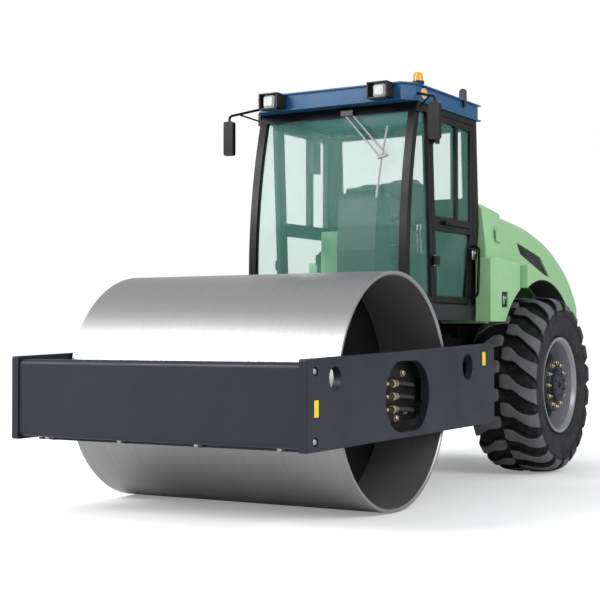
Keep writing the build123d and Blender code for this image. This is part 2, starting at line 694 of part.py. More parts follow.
def beacon():
    """The flashing lamp on its stalk, clear of the roof's left edge."""
    y = CAB_FRONT + 200
    x = ROOF_HALF_WIDTH - 50
    base = CAB_TOP + ROOF_HEIGHT
    stand = disc_z(17, base, base + 24, x, y)
    profile = Polygon((0, 0), (52, 0), (52, 14), (38, 20), (36, 60), (24, 78), (0, 83), align=None)
    dome = revolve(Plane.XZ * profile, Axis.Z)
    height = BEACON_HEIGHT - 22
    return stand + Pos(x, y, base + 22) * scale(dome, (1, 1, height / 83))


def mirror_set():
    """The left outside mirror: a bent arm with a stay, and the head below it."""
    x = CAB_HALF_WIDTH
    root = CAB_FRONT + 110
    y = CAB_FRONT - 50
    tip = 905
    high = CAB_TOP + 55
    arm = bent_tube([(x - 2, root, high + 5), (tip, y, high - 60), (tip, y, high - 240)], 30, 10)
    stay = bar((x + 12, root, CAB_TOP - 45), (tip - 70, y + 52, high - 48), 7)
    head = block(tip - 44, tip + 44, y - 22, y + 22, CAB_TOP - 322, CAB_TOP - 48)
    head = fillet(head.edges().filter_by(Axis.Y), 18)
    foot = block(x, x + 24, root - 30, root + 30, CAB_TOP - 80, CAB_TOP - 4)
    return arm + stay + head + foot - roof()


def wiper():
    """Two link arms from the header and the blade across the left half."""
    top = CAB_TOP - 50
    elbow = top - 375
    low = top - 680
    near = bow(top) - 16
    out = bow(elbow) - 34
    left = bar((80, near, top), (450, out, elbow), 7)
    right = bar((145, near, top), (505, out, elbow + 12), 7)
    link = bar((430, out, elbow - 4), (515, out, elbow + 14), 9)
    stem = bar((452, out, elbow), (452, bow(elbow) - 12, elbow), 8)
    blade = bar((472, bow(top - 130) - 12, top - 130), (452, bow(elbow) - 12, elbow), 8)
    blade += bar((452, bow(elbow) - 12, elbow), (430, bow(low) - 12, low), 8)
    motor = block(60, 165, near - 16, bow(top - 20), top - 20, top + 20)
    return motor + left + right + link + stem + blade


def grab_handle():
    """The hoop behind the left door."""
    x = CAB_HALF_WIDTH
    y = BULKHEAD_FRONT - SIDE_BOX_LEAD - 20
    points = [(x, y, 1895), (x + 62, y, 1895), (x + 62, y - 35, 1480), (x, y - 35, 1480)]
    return bent_tube(points, 45, 11)


# Inside the cab

def seat():
    """Cushion, backrest and head cushion on a pedestal."""
    x = 110
    y = CAB_REAR - 440
    base = CAB_BOTTOM + 50
    body = block(x - 180, x + 180, y - 210, y + 170, base, base + 420)
    body += fillet(block(x - 250, x + 250, y - 280, y + 180, base + 420, base + 560).edges(), 40)
    back = Pos(x, y + 190, base + 560) * Rot(-8, 0, 0) * Pos(0, 0, 250) * Box(470, 110, 620)
    body += fillet(back.edges(), 40)
    head = Pos(x, y + 262, base + 1010) * Box(290, 90, 200)
    body += fillet(head.edges(), 35)
    return body


def console():
    """Instrument console on a pedestal in front of the seat."""
    side = Polygon(
        (CAB_FRONT + 50, CAB_BOTTOM + 50), (CAB_FRONT + 330, CAB_BOTTOM + 50),
        (CAB_FRONT + 240, 1820), (CAB_FRONT + 300, 2120), (CAB_FRONT + 170, 2290),
        (CAB_FRONT + 60, 2230), (CAB_FRONT + 20, 1820), align=None)
    side = fillet(side.vertices().sort_by(Axis.Y)[-3:], 45)
    return across_between(Plane.YZ * side, 40, 370) - steering_wheel()


def steering_wheel():
    """Rim, spokes and column of the steering wheel."""
    place = Pos(205, CAB_FRONT + 400, 2210) * Rot(-35, 0, 0)
    wheel = Torus(205, 15)
    wheel += Pos(0, 0, -40) * Cylinder(45, 50)
    for angle in (90, 210, 330):
        wheel += Rot(0, 0, angle) * Pos(110, 0, -14) * Box(200, 30, 14)
    wheel += Pos(0, 0, -150) * Cylinder(28, 230)
    return place * wheel


def side_cabinet():
    """The cabinet inside the cab, at the right of the seat."""
    body = block(-560, -330, CAB_REAR - 440, CAB_REAR - 185, CAB_BOTTOM + 50, 2040)
    return fillet(body.edges().filter_by(Axis.Z), 20)


# Bodywork behind the cab

def bulkhead():
    """The tall body between cab and hood, tapering towards its top."""
    rear = HOOD_FRONT - HOOD_SEAM
    side = yz((BULKHEAD_FRONT, CAB_BOTTOM - 20), (rear, CAB_BOTTOM - 20), (rear, 2196),
              (BULKHEAD_FRONT + 40, 2262), (BULKHEAD_FRONT, 2240))
    body = across(side, BULKHEAD_HALF_WIDTH)
    outline = xz((-BULKHEAD_HALF_WIDTH, 1200), (BULKHEAD_HALF_WIDTH, 1200),
                 (BULKHEAD_HALF_WIDTH, 1800), (BULKHEAD_HALF_WIDTH - 50, 2215),
                 (BULKHEAD_HALF_WIDTH - 110, 2300), (-BULKHEAD_HALF_WIDTH + 110, 2300),
                 (-BULKHEAD_HALF_WIDTH + 50, 2215), (-BULKHEAD_HALF_WIDTH, 1800))
    body = body & extrude(outline, 4000, both=True)
    upright = body.edges().filter_by(Axis.Z).group_by(Axis.Y)[0]
    body = fillet(upright, 25)
    legs = block(-RAIL_OUTSIDE, RAIL_OUTSIDE, BULKHEAD_FRONT + 60, rear - 40, CHASSIS_TOP,
                 CAB_BOTTOM - 20)
    body += legs
    arch = disc_x(ARCH_RADIUS, -1000, 1000, AXLE_Y, TYRE_RADIUS)
    wells = arch - block(-RAIL_OUTSIDE - 30, RAIL_OUTSIDE + 30, -3000, 3000, 0, 3000)
    return body - wells


def side_box():
    """The left lower box: chamfered front edge, latch recess and wheel arch."""
    front = BULKHEAD_FRONT - SIDE_BOX_LEAD
    rear = HOOD_FRONT - 24
    x0 = CAB_HALF_WIDTH + 22
    side = yz((front, CAB_BOTTOM - 5), (rear, CAB_BOTTOM - 5), (rear, 1772), (front + 30, 1803),
              (front, 1790))
    body = across_between(side, x0, SIDE_BOX_HALF_WIDTH)
    body += block(x0, BULKHEAD_HALF_WIDTH, BULKHEAD_FRONT + 2, rear, CAB_BOTTOM - 5, 1760)
    edge = body.edges().filter_by(Axis.Z).group_by(Axis.X)[-1].sort_by(Axis.Y)[0]
    body = chamfer(edge, 55)
    body -= disc_x(ARCH_RADIUS, 0, 1300, AXLE_Y, TYRE_RADIUS)
    body -= block(SIDE_BOX_HALF_WIDTH - 45, SIDE_BOX_HALF_WIDTH + 10, front + 105, front + 235,
                  1400, 1528)
    keep_out = across(yz((BULKHEAD_FRONT, 1200), (HOOD_FRONT, 1200), (HOOD_FRONT, 2300),
                         (BULKHEAD_FRONT, 2300)), BULKHEAD_HALF_WIDTH)
    return body - keep_out


def step_ladder():
    """Two treads below the left door, hung from the chassis."""
    y0 = PIVOT_Y + 340
    y1 = y0 + 260
    body = block(560, 820, y0, y1, 640, 665)
    body += block(560, 820, y0, y1, 960, 985)
    body += block(560, 585, y0, y1, 640, 1060)
    body += block(RAIL_OUTSIDE, 585, y0 + 30, y0 + 70, 960, 1060)
    body += block(RAIL_OUTSIDE, 585, y1 - 70, y1 - 30, 960, 1060)
    return body


# Tilting hood

def hood_profile(inset):
    """Side view of the hood: a long bow falling to the rear."""
    y0 = HOOD_FRONT
    low = HOOD_PIVOT_HEIGHT + 10
    rear = REAR - 30
    top = ThreePointArc((y0, 2196), (AXLE_Y + 203, 2130), (AXLE_Y + 689, 2015))
    sill = low + 80
    back = TangentArc(top @ 1, (REAR - 44, low + 260), tangent=top % 1)
    edges = [top, back, Line(back @ 1, (rear, sill)), Line((rear, sill), (rear, low)),
             Line((rear, low), (y0, low)), Line((y0, low), top @ 0)]
    face = make_face(edges)
    if inset > 0:
        face = offset(face, -inset, kind=Kind.INTERSECTION)
    return Plane.YZ * face


def hood_section(inset):
    """Cross section of the hood: upright sides, crowned top."""
    half = HOOD_HALF_WIDTH - inset
    top = 2300 - inset
    return xz((-half, 1000), (half, 1000), (half, 1700), (half - 45, 2110), (half - 160, top),
              (-half + 160, top), (-half + 45, 2110), (-half, 1700))


def hood_solid(inset):
    """The closed form of the hood, moved inwards by the inset."""
    body = across(hood_profile(inset), HOOD_HALF_WIDTH + 50)
    return body & extrude(hood_section(inset), 4000, both=True)


def grille_opening():
    """The long slanted opening in the hood's side."""
    y = AXLE_Y
    shape = yz((y + 67, 1987), (y + 611, 1884), (y + 800, 1703), (y + 640, 1730), (y + 123, 1886))
    return across_between(shape, HOOD_HALF_WIDTH - 120, HOOD_HALF_WIDTH + 60)


def rear_grille_space():
    """The opening in the hood's rear face."""
    return block(-420, 420, REAR - 130, REAR + 20, HOOD_PIVOT_HEIGHT + 80,
                 HOOD_PIVOT_HEIGHT + 250)


def hood_shell():
    """The hood: an open shell with its side and rear openings."""
    body = hood_solid(0)
    cavity = hood_solid(HOOD_SKIN)
    floor = block(-HOOD_HALF_WIDTH + HOOD_SKIN, HOOD_HALF_WIDTH - HOOD_SKIN, HOOD_FRONT - 10,
                  REAR - 61, HOOD_PIVOT_HEIGHT - 20, HOOD_PIVOT_HEIGHT + 60)
    front = block(-HOOD_HALF_WIDTH + 60, HOOD_HALF_WIDTH - 60, HOOD_FRONT - 10, HOOD_FRONT + 60,
                  HOOD_PIVOT_HEIGHT - 20, 2080)
    body = body - cavity - floor - front
    body -= disc_x(ARCH_RADIUS, -1300, 1300, AXLE_Y, TYRE_RADIUS)
    opening = grille_opening()
    body -= opening
    body -= mirror(opening, about=Plane.YZ)
    body -= rear_grille_space()
    for x in (-300, 300):
        body += block(x - 25, x + 25, HOOD_PIVOT_Y - 20, REAR - 45, HOOD_PIVOT_HEIGHT - 20,
                      HOOD_PIVOT_HEIGHT + 40)
        body += disc_x(20, x - 25, x + 25, HOOD_PIVOT_Y, HOOD_PIVOT_HEIGHT)
        body += disc_x(HOOD_PIN_RADIUS, x - 52, x + 52, HOOD_PIVOT_Y, HOOD_PIVOT_HEIGHT)
    return body


def fender():
    """The left rear fender: from the hood's side out over the tyre."""
    y = AXLE_Y
    start = HOOD_FRONT
    ridge = ThreePointArc((start, 1762), (y + 190, 1648), (y + 690, 1440))
    side = make_face([ridge, Line(ridge @ 1, (y + 690, 1250)), Line((y + 690, 1250), (start, 1250)),
                      Line((start, 1250), ridge @ 0)])
    body = across_between(Plane.YZ * side, HOOD_HALF_WIDTH + 2, FENDER_HALF_WIDTH)
    return body - disc_x(ARCH_RADIUS, 0, 1300, AXLE_Y, TYRE_RADIUS)


def hood_grilles():
    """Dark louvred inserts behind the side openings and in the rear face."""
    opening = grille_opening()
    insert = hood_solid(HOOD_SKIN - 14) - hood_solid(HOOD_SKIN - 2)
    left = insert & opening
    rear = block(-420, 420, REAR - 58, REAR - 44, HOOD_PIVOT_HEIGHT + 80,
                 HOOD_PIVOT_HEIGHT + 250)
    return loose(left, mirror(left, about=Plane.YZ), rear)


# Wheels, drawn for the left side

def tyre():
    """The tyre in plain section, out to the tips of its lugs."""
    inner = TYRE_OUTSIDE - TYRE_WIDTH
    outer = TYRE_OUTSIDE
    wall = TYRE_RADIUS - RIM_RADIUS
    section = Polygon(
        (RIM_RADIUS, inner + 60), (RIM_RADIUS + 0.35 * wall, inner + 12),
        (RIM_RADIUS + 0.7 * wall, inner), (TYRE_RADIUS - LUG_HEIGHT, inner + 26),
        (TYRE_RADIUS, inner + 70), (TYRE_RADIUS, outer - 70), (TYRE_RADIUS - LUG_HEIGHT, outer - 26),
        (RIM_RADIUS + 0.7 * wall, outer), (RIM_RADIUS + 0.35 * wall, outer - 12),
        (RIM_RADIUS, outer - 60), align=None)
    return turned_about_x(AXLE_Y, TYRE_RADIUS, section)


def wheel_rim():
    """Rim, deep dish and planetary hub, turned as one section."""
    inner = TYRE_OUTSIDE - TYRE_WIDTH
    outer = TYRE_OUTSIDE
    r = RIM_RADIUS
    rim = Polygon(
        (r, inner + 60), (r, inner + 35), (r - 28, inner + 35), (r - 40, inner + 110),
        (r - 60, inner + 190), (r - 60, outer - 190), (r - 34, outer - 60), (r - 16, outer - 32),
        (r + 6, outer - 28), (r + 6, outer - 40), (r, outer - 60), align=None)
    disc = Polygon((190, inner + 235), (r - 50, inner + 235), (r - 50, inner + 257),
                   (190, inner + 257), align=None)
    spindle = SPINDLE_RADIUS + RUNNING_GAP
    hub = Polygon(
        (spindle, inner + 235), (215, inner + 235), (215, inner + 290), (HUB_RADIUS + 12, inner + 300),
        (HUB_RADIUS, outer - 130), (HUB_RADIUS - 30, outer - 105), (0, outer - 100),
        (0, inner + 335), (spindle, inner + 335), align=None)
    return turned_about_x(AXLE_Y, TYRE_RADIUS, rim, disc, hub)


def main():
    """Builds and writes every sub-part."""
    os.makedirs("parts", exist_ok=True)
    sided = {
        "side_plate": side_plate, "tyre": tyre, "wheel_rim": wheel_rim, "door_frame": door_frame,
        "door_glass": door_glass, "steer_barrel": steer_barrel, "steer_rod": steer_rod}
    for name, maker in sided.items():
        left = maker()
        write(f"{name}_left", left)
        write(f"{name}_right", mirror(left, about=Plane.YZ))
    paired = {
        "drum_carriers": drum_carrier, "drum_heads": drum_head, "mirrors": mirror_set,
        "grab_handles": grab_handle, "side_boxes": side_box, "steps": step_ladder,
        "rear_fenders": fender}
    for name, maker in paired.items():
        left = maker()
        write(name, loose(left, mirror(left, about=Plane.YZ)))
    single = {
        "front_beam": front_beam, "cross_beam": cross_beam, "drum_shell": drum_shell, "yoke": yoke,
        "chassis": chassis, "rear_axle": rear_axle, "engine": engine, "counterweight": counterweight,
        "cab_frame": cab_frame, "cab_floor": cab_floor, "cab_glass": cab_glass, "roof": roof,
        "roof_lamps": roof_lamps, "lamp_lenses": lamp_lenses, "wiper": wiper, "seat": seat,
        "console": console, "steering_wheel": steering_wheel, "side_cabinet": side_cabinet,
        "bulkhead": bulkhead, "hood_shell": hood_shell, "hood_grilles": hood_grilles}
    for name, maker in single.items():
        write(name, maker())
    write("scrapers", loose(scraper(-1), scraper(1)))
    write("amber_lamps", loose(beacon(), side_indicators()))


main()
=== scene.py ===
"""Single drum road roller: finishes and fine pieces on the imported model.

Metres, in the model's own frame: +X is the machine's left, +Y its rear, +Z up.
"""
from math import pi, radians

import bpy
import numpy as np
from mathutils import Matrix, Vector


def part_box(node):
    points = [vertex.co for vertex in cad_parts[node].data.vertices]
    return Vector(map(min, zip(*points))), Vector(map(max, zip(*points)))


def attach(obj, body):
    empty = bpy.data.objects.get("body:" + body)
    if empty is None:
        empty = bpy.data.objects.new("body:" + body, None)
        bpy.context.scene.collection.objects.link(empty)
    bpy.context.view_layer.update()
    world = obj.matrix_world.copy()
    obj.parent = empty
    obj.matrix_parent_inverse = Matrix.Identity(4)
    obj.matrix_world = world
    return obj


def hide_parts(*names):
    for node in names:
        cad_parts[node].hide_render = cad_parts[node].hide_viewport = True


bl_info = {
    "name": "Road Roller Dressing",
    "version": (1, 0, 0),
    "blender": (4, 5, 0),
    "location": "View3D > Sidebar > Roller",
    "description": "Finishes, tyres, fittings and cab interior of a single drum road roller",
    "category": "Object",
}

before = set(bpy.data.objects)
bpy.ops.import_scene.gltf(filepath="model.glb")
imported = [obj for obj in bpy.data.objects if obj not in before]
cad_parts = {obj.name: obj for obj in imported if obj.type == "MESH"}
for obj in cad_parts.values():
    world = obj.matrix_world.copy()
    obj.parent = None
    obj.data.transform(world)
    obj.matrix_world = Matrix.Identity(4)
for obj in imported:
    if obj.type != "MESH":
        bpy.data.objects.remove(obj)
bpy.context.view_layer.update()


def box_of(node):
    """Lowest and highest corner of a node, as arrays."""
    low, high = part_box(node)
    return np.array(low), np.array(high)


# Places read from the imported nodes, so that pieces follow them
DRUM_LOW, DRUM_HIGH = box_of("drum_shell")
TYRE_LOW, TYRE_HIGH = box_of("tyre_left")
PLATE_LOW, PLATE_HIGH = box_of("side_plate_left")
DRUM_Y, DRUM_Z = ((DRUM_LOW + DRUM_HIGH) / 2)[1:]
TYRE_X, AXLE_Y, AXLE_Z = (TYRE_LOW + TYRE_HIGH) / 2
TYRE_HALF, TYRE_R = ((TYRE_HIGH - TYRE_LOW) / 2)[[0, 2]]
PLATE_X, PLATE_FRONT = PLATE_HIGH[0], PLATE_LOW[1]

# Directions, by the machine's sides
LEFT, RIGHT, BACK, FORWARD = (1, 0, 0), (-1, 0, 0), (0, 1, 0), (0, -1, 0)
UP, DOWN = (0, 0, 1), (0, 0, -1)
SIDES = (("left", False), ("right", True))

# Where a node's paint changes
BULKHEAD_GREEN_Z = 1.272
WIPER_MOTOR_Z = 2.855
RIM_DARK_R = 0.335
DUST_TOP = 1.3

# Thin black strips inside the wheel arches, painted shade under the fenders and side boxes
ARCH_SHADE_INNER_R, ARCH_SHADE_OUTER_R = 0.893, 0.8985

# The tyre's section is written for a tyre of 0.75 m radius and 0.587 m width
SECTION_SCALE = (TYRE_HALF / 0.2935, TYRE_R / 0.75)
# The groove finish is the rubber painted far darker, as painted shade in the grooves and on the
# lugs' flanks
WALL, TREAD, GROOVE_SHADE = 0, 1, 2
WALL_R = 0.655

# Stations of a lug from the crown to the wall: distance along the section, half width as a
# share of the pitch, rise as a share of the lug's height, and trail as a share of the hook
LUG_STATIONS = np.array([
    (0.002, 0.20, -0.40, -0.45), (0.012, 0.42, 0.80, -0.45), (0.040, 0.50, 1.00, -0.42),
    (0.085, 0.50, 1.00, -0.35), (0.115, 0.38, 0.98, -0.22), (0.150, 0.33, 0.98, 0.02),
    (0.190, 0.38, 1.00, 0.30), (0.225, 0.44, 1.00, 0.50), (0.255, 0.51, 1.00, 0.64),
    (0.280, 0.58, 0.90, 0.74), (0.302, 0.67, 0.72, 0.82), (0.320, 0.78, 0.52, 0.87),
    (0.334, 0.90, 0.36, 0.90), (0.343, 1.02, 0.20, 0.90)])

# Corners of a lug's cross section: side, added width, drop below the top, and 1 at its root
LUG_SECTION = np.array([(-1, 0.008, 0.0, 1), (-1, 0.0, 0.006, 0), (-1, -0.006, 0.0, 0),
                        (1, -0.006, 0.0, 0), (1, 0.0, 0.006, 0), (1, 0.008, 0.0, 1)])
LUG_ROOT = -0.008

# The camera, fitted to the photo
CAMERA_LENS = 80.99
CAMERA_PLACE = (5.111, -9.678, 1.170)
CAMERA_TURN = (radians(91.51), 0.0, radians(30.847))


def placed(name, data, place=(0, 0, 0), turn=(0, 0, 0)):
    """A new object of the scene, at a place and turned."""
    made = bpy.data.objects.new(name, data)
    made.location, made.rotation_euler = place, turn
    bpy.context.scene.collection.objects.link(made)
    return made


# Arrays and forms

def linear(*levels):
    """Linear light from screen levels of 0 to 255, by the usual curve with exponent 2.4."""
    c = np.array(levels, float) / 255.0
    c = np.where(c <= 0.04045, c / 12.92, ((c + 0.055) / 1.055) ** 2.4)
    return tuple(float(v) for v in c)


def unit(v):
    """A vector of length one."""
    v = np.asarray(v, float)
    return v / np.linalg.norm(v, axis=-1, keepdims=True)


def basis(axis):
    """Three square directions whose last is the axis."""
    w = unit(axis)
    seed = np.array([0.0, 0.0, 1.0]) if abs(w[2]) < 0.9 else np.array([0.0, 1.0, 0.0])
    u = unit(np.cross(seed, w))
    return u, np.cross(w, u), w


def quads(rings, around, close_rings=False):
    """Corner numbers of the faces of a grid of rings that are each closed around."""
    n = np.arange(rings * around).reshape(rings, around)
    if close_rings:
        n = np.vstack([n, n[:1]])
    n = np.hstack([n, n[:, :1]])
    return np.stack([n[:-1, :-1], n[:-1, 1:], n[1:, 1:], n[1:, :-1]], -1).reshape(-1, 4)


def outward(points, faces):
    """Faces turned over where the volume inside, the sum of a . (b x c) / 6, is negative."""
    fans = [(f[0], f[i], f[i + 1]) for f in faces for i in range(1, len(f) - 1)]
    t = points[np.array(fans)]
    volume = np.einsum("ij,ij->i", t[:, 0], np.cross(t[:, 1], t[:, 2])).sum()
    return faces if volume > 0 else [tuple(reversed(f)) for f in faces]


def loft(rings, ring_closed=False):
    """Rings of points joined in order; the ends are flat faces unless the rings meet."""
    rings = np.asarray(rings, float)
    k, m = rings.shape[:2]
    points = rings.reshape(-1, 3)
    faces = [tuple(f) for f in quads(k, m, ring_closed).tolist()]
    if not ring_closed:
        faces.append(tuple(range(m - 1, -1, -1)))
        faces.append(tuple(range((k - 1) * m, k * m)))
    centre = points.mean(axis=0)
    return points, outward(points - centre, faces)


def turned(profile, place, axis, sides, closed=False):
    """Profile of (along, radius) about an axis: place + along w + radius (cos a u + sin a v)."""
    profile = np.asarray(profile, float)
    u, v, w = basis(axis)
    a = np.linspace(0, 2 * pi, sides, endpoint=False)
    ring = np.cos(a)[:, None] * u + np.sin(a)[:, None] * v
    points = profile[:, 1, None, None] * ring + profile[:, 0, None, None] * w
    return loft(points + np.asarray(place, float), closed)


def through(points, count):
    """A smooth curve through points: each span is the cubic with Catmull-Rom end slopes."""
    p = np.asarray(points, float)
    p = np.vstack([2 * p[0] - p[1], p, 2 * p[-1] - p[-2]])
    t = np.linspace(0, len(p) - 3 - 1e-9, count)
    i = t.astype(int)
    t = (t - i)[:, None]
    a, b, c, d = p[i], p[i + 1], p[i + 2], p[i + 3]
    return 0.5 * (2 * b + (c - a) * t + (2 * a - 5 * b + 4 * c - d) * t ** 2
                  + (3 * b - a - 3 * c + d) * t ** 3)


def swept(path, radius):
    """A round bar along a path: each ring stands square to the path's direction."""
    path = np.asarray(path, float)
    t = unit(np.gradient(path, axis=0))
    side = np.cross(t, UP)
    upright = np.linalg.norm(side, axis=1) < 0.05
    side[upright] = np.cross(t[upright], LEFT)
    side = unit(side)
    rise = np.cross(side, t)
    a = np.linspace(0, 2 * pi, 16, endpoint=False)[None, :, None]
    ring = np.cos(a) * side[:, None] + np.sin(a) * rise[:, None]
    return loft(path[:, None] + radius * ring)


def outline(width, height, corner, steps):
    """A rectangle with round corners: four quarter circles set at its corners."""
    a = np.linspace(0, pi / 2, steps)
    turns = (np.arange(4) * pi / 2)[:, None] + a
    cx = np.array([1, -1, -1, 1])[:, None] * (width / 2 - corner)
    cy = np.array([1, 1, -1, -1])[:, None] * (height / 2 - corner)
    return np.stack([cx + corner * np.cos(turns), cy + corner * np.sin(turns)], -1).reshape(-1, 2)


def plate(size, place, axis, thickness, edge=0.0, steps=5):
    """A plate of a width, height and corner, its edge drawn in at the far face."""
    shape = outline(*size, steps)
    u, v, w = basis(axis)
    half = np.abs(shape).max(axis=0)
    levels = [(0.0, 0.0), (thickness - edge, 0.0), (thickness, edge)]
    if not edge:
        del levels[1]
    rings = []
    for rise, inset in levels:
        s = shape * (1 - inset / half)
        rings.append(s[:, :1] * u + s[:, 1:] * v + rise * w)
    return loft(np.array(rings) + np.asarray(place, float))


def round_axle(radius, angle):
    """Y and Z at a radius and an angle about the wheels' axle."""
    return AXLE_Y + radius * np.cos(angle), AXLE_Z + radius * np.sin(angle)


def arch(x0, x1, start, end):
    """A strip of painted shade inside an arch, between two angles in degrees from the rear of the
    axle up.
    """
    steps = 40
    a = np.linspace(radians(start), radians(end), steps)[:, None]
    x = np.broadcast_to([x0, x1, x1, x0], (steps, 4))
    r = np.array([ARCH_SHADE_INNER_R, ARCH_SHADE_INNER_R, ARCH_SHADE_OUTER_R, ARCH_SHADE_OUTER_R])
    return loft(np.stack([x, *round_axle(r, a)], -1))


def block(low, high):
    """A block between two corners."""
    low, high = np.minimum(low, high), np.maximum(low, high)
    size = (high - low) / 2
    ring = np.array([[-1, -1], [1, -1], [1, 1], [-1, 1]]) * size[:2]
    both = np.stack([np.column_stack([ring, np.full(4, z)]) for z in (-size[2], size[2])])
    return loft(both + (low + high) / 2)


def pillow(centre, half, power=0.35, around=56, rings=28, dish=0.0, tuft=0.0):
    """A superellipsoid, its sines and cosines raised to a power; its top may be dished and sewn."""
    a = np.linspace(-pi, pi, around, endpoint=False)
    b = np.linspace(-pi / 2 * 0.985, pi / 2 * 0.985, rings)

    def soft(v):
        """The value raised to the power, its sign kept."""
        return np.sign(v) * np.abs(v) ** power

    x = soft(np.cos(b))[:, None] * soft(np.cos(a))
    y = soft(np.cos(b))[:, None] * soft(np.sin(a))
    z = soft(np.sin(b))[:, None] * np.ones_like(a)
    crown = 1 - dish * np.clip(z, 0, 1) * np.exp(-3.0 * x ** 2)
    sewn = 1 - tuft * np.clip(z, 0, 1) * (np.exp(-((np.abs(x) - 0.62) / 0.05) ** 2)
                                          + np.exp(-((np.mod(y * 2.5 + 0.5, 1) - 0.5) / 0.09) ** 2)
                                          * (np.abs(x) < 0.6))
    points = np.stack([x * half[0], y * half[1], z * half[2] * crown * sewn], -1)
    return loft(points + np.asarray(centre, float))


def leaned(form, angle, pivot):
    """A form turned about X through a pivot."""
    points, faces = form
    c, s = np.cos(angle), np.sin(angle)
    turn = np.array([[1, 0, 0], [0, c, -s], [0, s, c]])
    pivot = np.asarray(pivot, float)
    return (points - pivot) @ turn.T + pivot, faces


def mirrored(form):
    """The form on the other side of the middle plane, its faces turned over."""
    points, faces = form
    return points * np.array([-1, 1, 1]), [tuple(reversed(f)) for f in faces]


def merged(forms):
    """Several forms as one."""
    points, faces, total = [], [], 0
    for some_points, some_faces in forms:
        points.append(some_points)
        faces += [tuple(i + total for i in face) for face in some_faces]
        total += len(some_points)
    return np.vstack(points), faces


def hexagon(place, axis, across, height, washer=0.0):
    """A six-sided head with a drawn-in top, on a round washer where one is given."""
    radius = across / 3 ** 0.5
    start = 0.003 if washer else 0.0
    profile = [(start, radius), (start + height * 0.82, radius), (start + height, radius * 0.84)]
    head = turned(profile, place, axis, 6)
    if not washer:
        return head
    return merged([turned([(0.0, washer), (start, washer)], place, axis, 24), head])


def stud(place, axis, radius, height, sides=16, eased=(0.004, 0.003)):
    """A round bar with an eased end: how far along it, and how far inward."""
    along, inward = eased
    profile = [(0.0, radius), (height - along, radius), (height, radius - inward)]
    return turned(profile, place, axis, sides)


class Piece:
    """Points and faces of one piece, gathered form by form, with a finish number for each."""

    def __init__(self, flip=False):
        self.points, self.faces, self.marks, self.total = [], [], [], 0
        self.flip = flip

    def add(self, form, mark=0):
        """Adds a form under a finish number, or under one for each face."""
        points, faces = mirrored(form) if self.flip else form
        self.points.append(points)
        self.faces.extend(tuple(i + self.total for i in f) for f in faces)
        self.marks.extend([mark] * len(faces) if isinstance(mark, int) else mark)
        self.total += len(points)

    def both(self, form, mark=0):
        """Adds a form and its mirror image."""
        self.add(form, mark)
        self.add(mirrored(form), mark)

    def make(self, name, finishes, slot, body="rear", angle=30, bevel=0.0):
        """Makes the object, gives it its finishes, and sets it riding on a body."""
        mesh = bpy.data.meshes.new(name)
        mesh.from_pydata(np.vstack(self.points).tolist(), [], self.faces)
        for finish in finishes:
            mesh.materials.append(MADE[finish])
        mesh.polygons.foreach_set("material_index", np.array(self.marks, dtype=np.int32))
        mesh.polygons.foreach_set("use_smooth", np.ones(len(self.faces), dtype=bool))
        mesh.set_sharp_from_angle(angle=radians(angle))
        mesh.update()
        obj = placed(name, mesh)
        if bevel:
            soften = obj.modifiers.new("soft edges", "BEVEL")
            soften.width, soften.segments = bevel, 2
            soften.limit_method, soften.angle_limit = "ANGLE", radians(40)
        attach(obj, body)
        return obj


# Finishes

MADE = {}


def add_node(tree, kind, inputs=None, **settings):
    """A node with its settings, its inputs given by name or number as values or links."""
    made = tree.nodes.new("ShaderNode" + kind)
    for key, value in settings.items():
        setattr(made, key, value)
    for key, value in (inputs or {}).items():
        if isinstance(value, bpy.types.NodeSocket):
            tree.links.new(value, made.inputs[key])
        else:
            made.inputs[key].default_value = value
    return made


